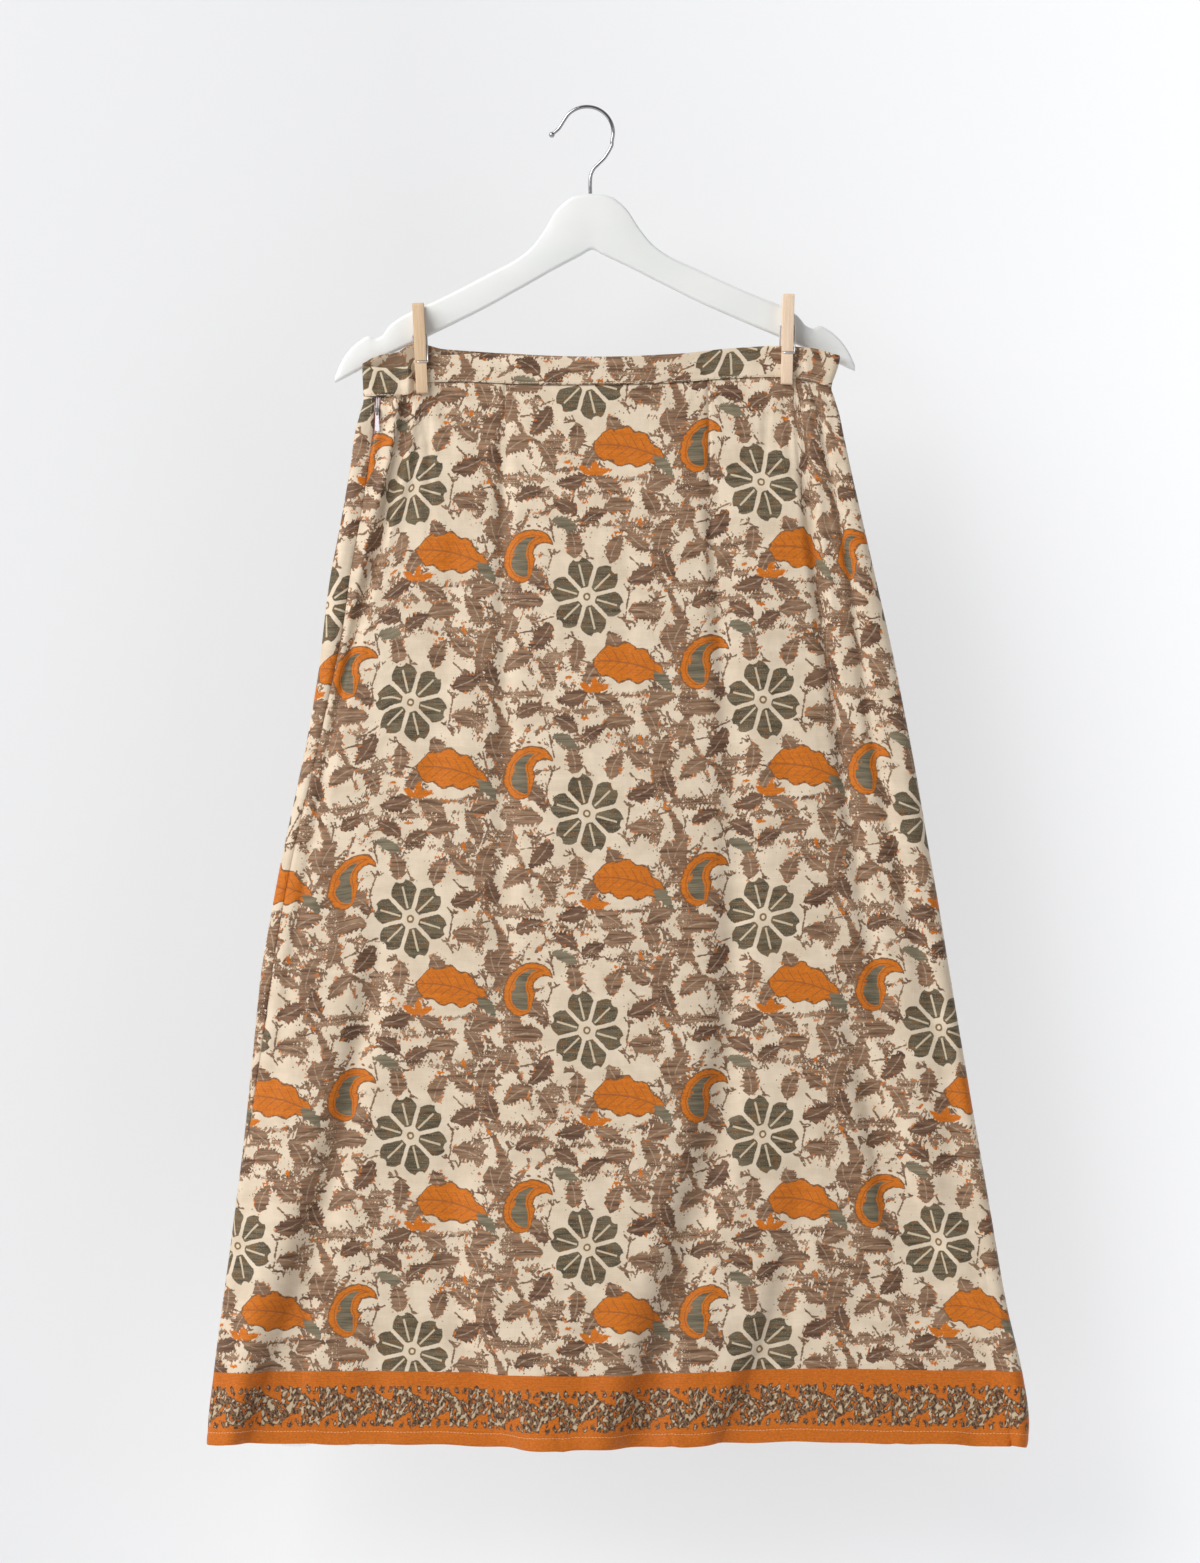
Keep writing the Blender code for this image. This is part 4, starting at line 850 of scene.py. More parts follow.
def print_material(name, reverse=False):
    p = Paint(name)
    u, q = p.flat()
    taupe, brown, mass = p.attribute("inks")
    rib, twig, zone = p.attribute("inks2")
    olive, small, along = p.attribute("inks3")
    along = along * 3.0
    flatv = p.vec(u, q)
    wide = p.vec(u * 0.75, q * 1.35)
    streak = p.vec(u * 0.055, q * 1.15)

    coarse = p.noise(wide, 0.15, 1.0, 0.5) - 0.5
    mid = p.noise(wide, 0.40, 0.5, 0.5) - 0.5
    fine = p.noise(wide, 1.1, 1.0, 0.5) - 0.5
    # brushed spikes that lean right and left
    lean = p.noise(p.vec(u * 0.91 - q * 0.42, (u * 0.42 + q * 0.91) * 0.22), 0.62, 0.5, 0.5) - 0.5
    back = p.noise(p.vec(u * 0.80 + q * 0.60 + 70.0, (q * 0.80 - u * 0.60) * 0.22), 0.55, 0.5, 0.5) - 0.5
    tooth = (((along - rib.abs() * 0.9) / 3.6).wrap(1.0) + 0.5) * 1.9 - 0.6
    tooth = tooth * (rib.abs() - 0.6).step(0.0, 2.0)
    jag = coarse * 2.6 + mid * 1.3 + lean * 2.6 + fine * 0.4 + tooth
    rag = coarse * 8.0 + mid * 2.6 + lean * 7.5 + back * 5.5 + fine * 0.6
    slub = p.noise(streak, 1.0, 2.0, 0.6)
    slub2 = p.noise(p.vec(u * 0.03, q * 0.34), 1.0, 1.0, 0.5)
    tone = (slub - 0.5) * 1.6 + (slub2 - 0.5) * 1.7 + 0.5
    tone = tone.clip()
    cells, pick = p.cells(flatv, 0.30)
    cells2, pick2 = p.cells(flatv, 0.50)
    hard = 0.45

    # cream ground
    blotch = p.noise(p.vec(u * 0.6, q), 0.055, 2.0, 0.6)
    colour = p.mix(blotch.step(0.35, 0.65) * 0.75 + slub * 0.25, rgb(215, 199, 177), rgb(201, 184, 161))
    dark = p.mix(tone, rgb(94, 67, 48), rgb(136, 106, 81))
    # spattered drops and broken twigs
    near = taupe.min(brown).min(mass)
    drop = (cells + fine * 0.5 - 0.15).inside(0.08) * pick.above(0.80) * (near - 4.0 + coarse * 8.0).inside(1.0)
    colour = p.mix(drop, colour, dark)
    stroke = (twig.abs() - 0.66 + mid * 1.6 + fine * 0.6).inside(hard) * (zone - 2.1).inside(0.6)
    colour = p.mix(stroke, colour, dark)
    # stems, leaves and ragged masses
    d_mass = mass + rag
    colour = p.mix(d_mass.inside(hard), colour, p.mix(tone, rgb(96, 69, 49), rgb(157, 127, 101)))
    d_taupe = taupe + jag
    colour = p.mix(d_taupe.inside(hard), colour, p.mix(tone, rgb(91, 64, 45), rgb(148, 117, 91)))
    d_brown = brown + jag
    colour = p.mix(d_brown.inside(hard), colour, p.mix(tone, rgb(76, 51, 36), rgb(120, 90, 68)))
    leafy = taupe.min(brown)
    vein = (rib.abs() - 0.40 + mid * 1.6).inside(0.5) * (leafy + 2.2).inside(0.8)
    colour = p.mix(vein * 0.42, colour, rgb(188, 168, 143))
    both = d_taupe.min(d_brown).min(d_mass)
    # pale spots in the dark parts, rust flecks along their edges
    spots = (cells2 + fine * 0.2 - 0.20).inside(0.10) * pick2.above(0.35) * (d_mass + 0.9).inside(0.8)
    colour = p.mix(spots * 0.7, colour, rgb(188, 166, 141))
    holes = (cells - 0.20 + fine * 0.8).inside(0.10) * (0.30 - pick).step(0.0, 0.05) * (d_mass + 1.5).inside(1.0)
    colour = p.mix(holes, colour, rgb(214, 196, 170))
    fleck = p.noise(p.vec(u, q * 1.3), 0.20, 1.0, 0.5).step(0.65, 0.67) * (both.abs() - 1.5).inside(0.8)
    colour = p.mix(fleck * 0.78, colour, rgb(184, 104, 30))

    # the big blossom: six notched petals round a pale star
    du, dq = about(u, q, 0.0, 3.0)
    r = hypot(du, dq * 0.94)
    a = atan2(dq, du)
    n = 6
    light = (jag - tooth) * 0.22
    s = ((a * (n / (2 * PI)) + 0.27).wrap(1.0)).abs() * (2 * PI / n)
    x, y = r * s.cos(), r * s.sin()
    petal = (hypot((x - 18.6) / 11.6, y / 10.2) - 1.0) * 9.6
    petal = petal.max((y * 0.866 - x * 0.5) + 1.5)  # a pale ray between neighbours
    petal = petal.max(4.0 - hypot(x - 31.6, y))
    midrib = (y - 0.75).max((x - 16.0).abs() - 9.0)
    flower = p.mix(tone, rgb(64, 55, 39), rgb(110, 98, 76))
    blush = p.noise(p.vec(u * 0.8, q * 1.6), 0.16, 2.0, 0.6)
    flower = p.mix(blush.step(0.55, 0.64) * 0.6, flower, rgb(118, 80, 40))
    flower = p.mix((cells2 - 0.15).inside(0.10) * pick2.above(0.55) * 0.5, flower, rgb(160, 152, 128))
    colour = p.mix((petal + light).inside(hard), colour, flower)
    colour = p.mix((midrib + light * 0.6).inside(0.4) * (petal + 1.0).inside(0.5) * 0.85, colour, rgb(204, 188, 160))
    colour = p.mix((r - 3.0 + light).inside(0.5), colour, rgb(120, 96, 66))
    colour = p.mix((r - 1.5 + light).inside(0.5), colour, rgb(214, 196, 168))

    # orange paisleys, each a drop that curls round a point, with an olive heart
    warm = p.noise(p.vec(u, q * 1.7), 0.45, 2.0, 0.65)
    amber = p.mix(warm.step(0.3, 0.7) * 0.6 + tone * 0.4, rgb(172, 89, 6), rgb(203, 113, 15))
    soft = coarse * 1.2 + mid * 1.0 + fine * 0.7
    du, dq = about(u, q, -35.0, 35.0, 14.0)
    ang = atan2(dq, -du)
    body, run = 13.2, 58.0
    t = (ang + 0.75) / 3.25
    tc = t.clip()
    off = hypot(du, dq) - (20.5 - tc * tc * 8.5)
    along = tc * run
    head = (along.min(body) * (2 * body - along.min(body))).sqrt() / body
    taper = ((run - along) / (run - body)).clip().power(0.82) * body
    wide_at = head * taper
    ends = (t - 1.0).max(0.0) * 50.0 + (-t).max(0.0) * 50.0
    drop = ((off.abs() - wide_at) + ends) * 0.92 + soft
    colour = p.mix((drop - 0.2).inside(hard), colour, rgb(118, 78, 44))
    colour = p.mix((drop + 0.9 + mid * 2.0).inside(hard), colour, amber)
    heart = off.abs() - wide_at + 6.4 + ends
    colour = p.mix((heart + soft).inside(hard), colour, p.mix(tone, rgb(80, 74, 58), rgb(120, 110, 88)))
    colour = p.mix(((heart - 1.6 + soft).abs() - 0.35).inside(0.4) * 0.7, colour, rgb(120, 70, 30))
    beads = hypot((along + 1.5).wrap(5.6), off - wide_at - 3.2) - 1.0 + soft * 0.4
    beads = beads.max((t - 0.80) * 30.0).max((0.10 - t) * 30.0)
    colour = p.mix(beads.inside(hard), colour, rgb(122, 84, 50))
    # broad orange leaf with a fine midrib and side veins
    dx, dy = about(u, q, 33.0, -55.0, -12.0)
    t = dx / 31.0
    bow = (1.0 - t * t)
    yy = dy - bow * 5.0
    leaf = (yy.abs() - bow.max(0.0).power(0.80) * (1.0 - t * 0.24) * 15.0) * 0.85
    lobe = ((dx * (2 * PI / 15.5) + 0.5).sin()) * 1.2
    leaf = leaf.max((t.abs() - 1.0) * 20.0) + lobe + soft
    colour = p.mix((leaf - 0.2).inside(hard), colour, rgb(118, 78, 44))
    colour = p.mix((leaf + 0.9 + mid * 2.0).inside(hard), colour, amber)
    veins = ((dx + yy.abs() * 0.9).wrap(7.6)).abs() - 0.42 + mid * 0.8
    veins = veins.max(yy.abs() - 9.0).min((yy.abs() - 0.62 + mid * 0.8).max(t.abs() - 0.9))
    colour = p.mix(veins.inside(0.4) * (leaf + 2.0).inside(0.6) * 0.8, colour, rgb(140, 80, 36))
    # small orange leaves and the olive ones
    d_small = small + jag * 0.5
    colour = p.mix(d_small.inside(hard), colour, amber)
    d_olive = olive + jag * 0.7
    colour = p.mix(d_olive.inside(hard), colour, p.mix(tone, rgb(92, 84, 66), rgb(130, 119, 96)))

    # border above the hem: an orange band with a running scroll
    h = q + SKIRT_LENGTH
    ground = p.mix(warm.step(0.3, 0.7) * 0.7 + slub * 0.3, rgb(167, 83, 6), rgb(200, 109, 17))
    lines = ((h * (2 * PI / 1.9)).sin() * 0.5 + 0.5) * (h - 46.0).step(0.0, 2.0) * mid.step(-0.05, 0.12)
    ground = p.mix(lines * 0.35, ground, rgb(150, 74, 16))
    period = 30.0
    w = 2 * PI / period
    y0 = h - 30.0 + coarse * 2.0
    slope = (u * w).cos() * (7.5 * w)
    vine = (y0 - (u * w).sin() * 7.5).abs() / (slope * slope + 1.0).sqrt() - 2.6
    half = ((u / period * 2.0) + 0.5).floor()
    side = (half * 0.5 - (half * 0.5).floor()) * 4.0 - 1.0
    cx = u - half * (period / 2.0)
    cy = y0 + side * 5.0
    rr = hypot(cx, cy)
    ang = atan2(cy * side, cx)
    coil = ((rr / 5.4 - ang / (2 * PI) + 0.3).wrap(1.0)).abs() * 5.4 - 1.5
    coil = coil.max(rr - 10.5)
    # a fan of small leaves on the outer side of each coil
    fan = atan2(side * -1.0 * (y0 - side * 2.0), cx)
    ray = ((fan * (11 / (2 * PI))).wrap(1.0)).abs() * (2 * PI / 11)
    reach = hypot(cx, y0 - side * 2.0)
    blade = hypot((reach - 13.2) / 3.9, reach * ray.sin() / 2.3) - 1.0
    blade = (blade * 2.3).max(side * (y0 - side * 2.0) * -1.0 - 3.0 + 3.0 * 0.0)
    bud = hypot((cx.abs() - 7.4), (y0 + side * 13.6)) - 3.0
    stalk = (cx.abs() - 1.1).max(side * y0 * -1.0 - 16.0).max(side * y0 + 7.0)
    scroll = vine.min(coil).min(blade).min(bud).min(stalk)
    clump = hypot(cx / 10.0, (y0 + side * 3.0) / 15.0)
    scroll = scroll + (clump - 0.7).clip() * 3.0 - 0.8 + mid * 2.2 + lean * 2.4 + fine * 0.6
    speck = p.noise(p.vec(u + q * 0.35, q * 0.6), 0.55, 1.5, 0.55)
    speck2 = p.noise(p.vec(u * 0.9 - q * 0.3, q * 0.55), 0.34, 1.0, 0.5)
    ornament = p.mix(speck.step(0.40, 0.60), rgb(62, 38, 24), rgb(124, 94, 66))
    pale = (speck2.step(0.50, 0.60) * 0.8) * (scroll + 1.1).inside(0.5)
    ornament = p.mix(pale, ornament, rgb(198, 180, 150))
    ornament = p.mix((scroll.abs() - 0.45).inside(0.5) * 0.8, ornament, rgb(66, 48, 34))
    border = p.mix(scroll.inside(0.6) * (h - 12.8).step(0.0, 0.5) * (48.5 - h).step(0.0, 0.8), ground, ornament)
    colour = p.mix((h - BORDER + fine * 0.5).inside(0.5), colour, border)

    # threads: lighter and darker weft, and a little wear
    threads = slub * 0.16 + p.noise(p.vec(u * 1.1, q * 0.12), 1.0, 1.0, 0.5) * 0.06 + fine * 0.06
    colour = p.scale_colour(colour, threads + 0.89)
    if reverse:
        # reverse face: a duller print, plus painted shade, darker brown, for the shaded inside of the skirt and band
        dull = p.mix(slub, rgb(112, 90, 68), rgb(86, 68, 52))
        colour = p.mix(0.45, colour, dull)
    p.feed("Base Color", colour)
    p.feed("Roughness", slub * 0.16 + (0.62 if reverse else 0.50))
    p.set(Sheen_Weight=0.14, Sheen_Roughness=0.42, Specular_IOR_Level=0.34, IOR=1.48)
    p.bsdf.inputs["Sheen Tint"].default_value = (1.0, 0.93, 0.82, 1.0)
    crinkle = p.noise(p.vec(u, q * 0.8), 0.11, 3.0, 0.55)
    rumple = p.noise(p.vec(u * 1.5, q * 0.5), 0.042, 2.0, 0.5)
    p.bump(weave(p, u, q, 1.0, slub) + crinkle * 0.36 + rumple * 1.1, 0.8)
    return p.mat


def plain_cloth(name, dark, lit, pitch=(0.42, 0.36), rough=0.6, sheen=0.2):
    """One-colour woven cloth on cloth coordinates."""
    p = Paint(name)
    u, q = p.flat()
    slub = p.noise(p.vec(u * 0.06, q * 1.1), 1.0, 2.0, 0.6)
    warm = p.noise(p.vec(u, q * 1.7), 0.45, 2.0, 0.65)
    weft = (q * (2 * PI / pitch[1])).sin()
    warp = (u * (2 * PI / pitch[0])).sin()
    colour = p.mix(warm.step(0.3, 0.7) * 0.55 + slub * 0.3 + weft * 0.05 + 0.05, dark, lit)
    p.feed("Base Color", colour)
    p.feed("Roughness", slub * 0.15 + rough)
    p.set(Sheen_Weight=sheen, Sheen_Roughness=0.45, Specular_IOR_Level=0.32)
    p.bump(warp * 0.014 + weft * 0.02 + slub * 0.05, 0.8)
    return p.mat


def thread_material(name, dark, lit):
    """Twisted sewing thread."""
    p = Paint(name)
    x, y, z = p.place()
    ply = ((x + y * 0.6 + z * 0.9) * (2 * PI / 0.5)).sin()
    shade = p.noise(p.vec(x, y, z), 0.9, 2.0, 0.6, dims="3D")
    p.feed("Base Color", p.mix(ply * 0.25 + shade * 0.6, dark, lit))
    p.feed("Roughness", shade * 0.2 + 0.5)
    p.set(Sheen_Weight=0.15, Specular_IOR_Level=0.4)
    p.bump(ply * 0.03, 0.7)
    return p.mat


def paint_material():
    """White satin paint on wood, a little dulled and rubbed along its edges."""
    p = Paint("white_satin_paint")
    x, y, z = p.place()
    broad = p.noise(p.vec(x * 0.4, y, z), 0.02, 2.0, 0.5, dims="3D")
    grain = p.noise(p.vec(x * 0.12, y * 1.2, z * 1.0), 0.55, 3.0, 0.6, dims="3D")
    speck = p.noise(p.vec(x, y, z), 0.9, 2.0, 0.6, dims="3D").step(0.70, 0.76)
    edge = p.node("ShaderNodeNewGeometry")
    point = S(p.t, edge.outputs["Pointiness"]).step(0.52, 0.60)
    colour = p.mix(broad.step(0.3, 0.7), rgb(216, 219, 218), rgb(224, 225, 224))
    colour = p.mix(grain.step(0.45, 0.75) * 0.10, colour, rgb(214, 214, 208))
    colour = p.mix(speck * 0.10, colour, rgb(196, 192, 184))
    colour = p.mix(point * 0.12, colour, rgb(226, 220, 206))
    p.feed("Base Color", colour)
    p.feed("Roughness", grain * 0.12 + 0.30 + speck * 0.1)
    p.set(Specular_IOR_Level=0.5, Coat_Weight=0.15, Coat_Roughness=0.25)
    p.bump(grain * 0.05 + broad * 0.3, 0.5)
    return p.mat


def metal_material(name, tint, rough, streak=(1.0, 1.0, 1.0), wear=0.06):
    """Drawn or plated metal with fine draw marks and dulled patches."""
    p = Paint(name)
    x, y, z = p.place()
    lines = p.noise(p.vec(x * streak[0], y * streak[1], z * streak[2]), 1.6, 2.0, 0.6, dims="3D")
    patch = p.noise(p.vec(x, y, z), 0.16, 3.0, 0.6, dims="3D")
    lo = tuple(c * 0.82 for c in tint)
    p.feed("Base Color", p.mix(patch.step(0.35, 0.75) * 0.5 + lines * 0.25, tint, lo))
    p.feed("Roughness", lines * wear + patch * wear + rough)
    p.set(Metallic=1.0)
    p.bump(lines * 0.02, 0.35)
    return p.mat


def beech_material(name, pale, deep, turn):
    """Bare sanded beech: fine grain along the peg, small dark rays."""
    p = Paint(name)
    x, y, z = p.place()
    along = z + x * turn
    across = x - z * turn
    rings = p.noise(p.vec(across * 0.9, y * 0.9, along * 0.045), 0.9, 3.0, 0.6, dims="3D")
    fibre = p.noise(p.vec(across * 5.0, y * 5.0, along * 0.22), 1.0, 2.0, 0.6, dims="3D")
    rays = p.noise(p.vec(across * 1.5, y * 1.2, along * 0.32), 1.9, 1.0, 0.5, dims="3D").step(0.66, 0.74)
    colour = p.mix(rings.step(0.32, 0.68), pale, deep)
    colour = p.mix(fibre.step(0.45, 0.8) * 0.25, colour, tuple(c * 0.72 for c in deep))
    colour = p.mix(rays * 0.35, colour, tuple(c * 0.62 for c in deep))
    p.feed("Base Color", colour)
    p.feed("Roughness", fibre * 0.2 + 0.5)
    p.set(Specular_IOR_Level=0.35)
    p.bump(fibre * 0.05 + rings * 0.05, 0.7)
    return p.mat


# =================================================================== builders
ROOT = "root"


def mesh_object(name, verts, faces, mats, uv=None, attrs=None, face_mats=None, smooth=True):
    mesh = bpy.data.meshes.new(name)
    mesh.from_pydata(np.asarray(verts, float) * MM, [], faces)
    for m in mats:
        mesh.materials.append(m)
    if face_mats is not None:
        mesh.polygons.foreach_set("material_index", np.asarray(face_mats, np.int32))
    if uv is not None:
        layer = mesh.uv_layers.new(name="flat")
        loops = np.empty(len(mesh.loops), np.int32)
        mesh.loops.foreach_get("vertex_index", loops)
        layer.data.foreach_set("uv", np.asarray(uv, np.float32)[loops].ravel() * MM)
    for key, values in (attrs or {}).items():
        a = mesh.attributes.new(key, "FLOAT_VECTOR", "POINT")
        a.data.foreach_set("vector", np.asarray(values, np.float32).ravel())
    if smooth:
        mesh.shade_smooth()
    mesh.update()
    obj = bpy.data.objects.new(name, mesh)
    bpy.context.scene.collection.objects.link(obj)
    return obj


def on_root(obj, replaced=()):
    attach(obj, ROOT)
    if replaced:
        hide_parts(*replaced)
    return obj


def picks(count, step):
    """Indices 0..count-1 every step, both ends included."""
    out = list(range(0, count, step))
    if out[-1] != count - 1:
        out.append(count - 1)
    return out


def inner_skin(target, normals, ri, ci):
    """Coarse points that lie behind the target surface everywhere."""
    fr, fc = np.arange(target.shape[0]), np.arange(target.shape[1])
    ka = np.clip(np.searchsorted(ri, fr, side="right") - 1, 0, len(ri) - 2)
    kb = np.clip(np.searchsorted(ci, fc, side="right") - 1, 0, len(ci) - 2)
    ra, cb = np.array(ri), np.array(ci)
    fa = ((fr - ra[ka]) / (ra[ka + 1] - ra[ka]))[:, None, None]
    fb = ((fc - cb[kb]) / (cb[kb + 1] - cb[kb]))[None, :, None]
    at, way = target[np.ix_(ri, ci)], normals[np.ix_(ri, ci)]
    depth = np.zeros(at.shape[:2])
    for _ in range(3):
        inner = at - way * depth[..., None]
        rows = inner[ka] * (1 - fa) + inner[ka + 1] * fa
        full = rows[:, kb] * (1 - fb) + rows[:, kb + 1] * fb
        over = np.maximum(((full - target) * normals).sum(-1), 0.0)
        cell = np.zeros((len(ri) - 1, len(ci) - 1))
        np.maximum.at(cell, (ka[:, None].repeat(len(fc), 1), kb[None, :].repeat(len(fr), 0)), over)
        need = np.zeros_like(depth)
        for da in (0, 1):
            for db in (0, 1):
                part = need[da : da + cell.shape[0], db : db + cell.shape[1]]
                np.maximum(part, cell, out=part)
        depth += need * 1.05
    return at - way * depth[..., None]


def shell(name, grid, normals, uv, thick, mats, attrs=None, every=4):
    """Closed thin shell: a dense outer face, a coarser inner face and a rim.

    Rows run down and columns to the right, seen from outside.
    """
    rows, cols = grid.shape[:2]
    outer = grid + normals * (thick / 2)
    ri, ci = picks(rows, every), picks(cols, every)
    inner = inner_skin(grid - normals * (thick / 2), normals, ri, ci)
    base = rows * cols
    ic = len(ci)

    def o(i, j):
        return i * cols + j

    def n(a, b):
        return base + a * ic + b

    idx = np.arange(rows * cols).reshape(rows, cols)
    faces = np.stack([idx[:-1, :-1], idx[1:, :-1], idx[1:, 1:], idx[:-1, 1:]], axis=-1).reshape(-1, 4).tolist()
    outside = len(faces)
    jdx = base + np.arange(len(ri) * ic).reshape(len(ri), ic)
    faces += np.stack([jdx[:-1, :-1], jdx[:-1, 1:], jdx[1:, 1:], jdx[1:, :-1]], axis=-1).reshape(-1, 4).tolist()
    inside = len(faces)
    for b in range(ic - 1):
        c0, c1 = ci[b], ci[b + 1]
        faces.append([o(0, c) for c in range(c0, c1 + 1)] + [n(0, b + 1), n(0, b)])
        faces.append([o(rows - 1, c) for c in range(c1, c0 - 1, -1)] + [n(len(ri) - 1, b), n(len(ri) - 1, b + 1)])
    for a in range(len(ri) - 1):
        r0, r1 = ri[a], ri[a + 1]
        faces.append([o(r, 0) for r in range(r1, r0 - 1, -1)] + [n(a, 0), n(a + 1, 0)])
        faces.append([o(r, cols - 1) for r in range(r0, r1 + 1)] + [n(a + 1, ic - 1), n(a, ic - 1)])
    verts = np.concatenate([outer.reshape(-1, 3), inner.reshape(-1, 3)])
    both = [np.concatenate([w.reshape(-1, w.shape[-1]), w[np.ix_(ri, ci)].reshape(-1, w.shape[-1])]) for w in [uv] + list((attrs or {}).values())]
    slots = np.zeros(len(faces), np.int32)
    if len(mats) > 1:
        slots[outside:inside] = 1
    made = mesh_object(name, verts, faces, mats, both[0], dict(zip((attrs or {}).keys(), both[1:])), slots)
    return made


def tube_mesh(points, radius, sides=8, closed=False, caps=True, flatten=None):
    """Vertices and faces of a round wire along points; radius a number or a list."""
    p = np.asarray(points, float)
    r = np.broadcast_to(np.asarray(radius, float), (len(p),))
    t = np.gradient(p, axis=0)
    if closed:
        t = np.roll(p, -1, axis=0) - np.roll(p, 1, axis=0)
    t /= np.maximum(1e-9, np.linalg.norm(t, axis=1, keepdims=True))
    ref = np.array([0.0, 0.0, 1.0]) if abs(t[0][2]) < 0.9 else np.array([1.0, 0.0, 0.0])
    side = np.cross(t[0], ref)
    side /= np.linalg.norm(side)
    verts, faces = [], []
    for k in range(len(p)):
        side = side - t[k] * np.dot(side, t[k])
        side /= max(1e-9, np.linalg.norm(side))
        up = np.cross(t[k], side)
        for m in range(sides):
            a = 2 * PI * m / sides
            verts.append(p[k] + r[k] * (side * math.cos(a) + up * math.sin(a)))
    rings = len(p)
    for k in range(rings if closed else rings - 1):
        for m in range(sides):
            n = (m + 1) % sides
            b = (k + 1) % rings
            faces.append((k * sides + m, k * sides + n, b * sides + n, b * sides + m))
    if caps and not closed:
        faces.append(tuple(range(sides))[::-1])
        faces.append(tuple((rings - 1) * sides + m for m in range(sides)))
    return verts, faces


def joined(parts):
    verts, faces = [], []
    for v, f in parts:
        base = len(verts)
        verts += list(v)
        faces += [tuple(i + base for i in g) for g in f]
    return verts, faces


def smooth_line(points, per=8):
    """Catmull-Rom curve through points."""
    p = np.asarray(points, float)
    p = np.concatenate([[2 * p[0] - p[1]], p, [2 * p[-1] - p[-2]]])
    out = []
    for i in range(1, len(p) - 2):
        a, b, c, d = p[i - 1], p[i], p[i + 1], p[i + 2]
        for k in range(per):
            t = k / per
            out.append(0.5 * (2 * b + (c - a) * t + (2 * a - 5 * b + 4 * c - d) * t * t + (3 * b - a - 3 * c + d) * t**3))
    out.append(p[-2])
    return np.array(out)


def walk(points, normals, start, stop, step, lift):
    """Places along a line every step millimetres: (distance, point) interpolators."""
    seg = np.linalg.norm(np.diff(points, axis=0), axis=1)
    s = np.concatenate([[0.0], np.cumsum(seg)])
    stop = s[-1] + stop if stop <= 0 else stop

    def at(d):
        p = np.array([np.interp(d, s, points[:, k]) for k in range(3)])
        n = np.array([np.interp(d, s, normals[:, k]) for k in range(3)])
        return p + n / np.linalg.norm(n) * lift

    return at, np.arange(start, stop, step)


def stitch_row(name, points, normals, mat, length=2.3, gap=0.55, radius=0.17, start=2.0, stop=-2.0, lift=0.42):
    """A row of straight stitches: each dips into the cloth at both ends."""
    at, spots = walk(points, normals, start, stop, length + gap, 0.0)
    over, _ = walk(points, normals, start, stop, length + gap, lift)
    parts = []
    for k, d in enumerate(spots):
        slip = 0.10 * math.sin(k * 2.7) + 0.06 * math.sin(k * 1.13)
        ends = [(0.0, 0.15), (0.16, 0.9), (0.5, 1.05), (0.84, 0.9), (1.0, 0.15)]
        pts = []
        for t, up in ends:
            low, high = at(d + length * t), over(d + length * t)
            q = low + (high - low) * up
            q[2] += slip
            pts.append(q)
        parts.append(tube_mesh(pts, radius, sides=5))
    v, f = joined(parts)
    obj = mesh_object(name, v, f, [mat])
    return obj


# ============================================================== cloth geometry
ROW_STEP = 2.95


# columns: x, half width, lift of the hem's edge, for the front and the back
HEM_KINKS = (
    ((-189.0, 3.0, 1.1), (-223.0, 5.0, 0.7), (-19.0, 4.0, -0.8), (68.0, 5.0, 0.8), (251.0, 6.0, 0.9), (-296.0, 6.0, -0.5), (346.0, 5.0, 1.2)),
    ((-140.0, 4.0, 0.8), (12.0, 4.0, 0.9), (180.0, 6.0, -0.7)),
)
# columns between the marks: left seam, each dart's two sides and middle, right seam
DART_COLUMNS = ((94, 1, 1, 80, 1, 1, 102), (78, 1, 1, 92, 1, 1, 102))


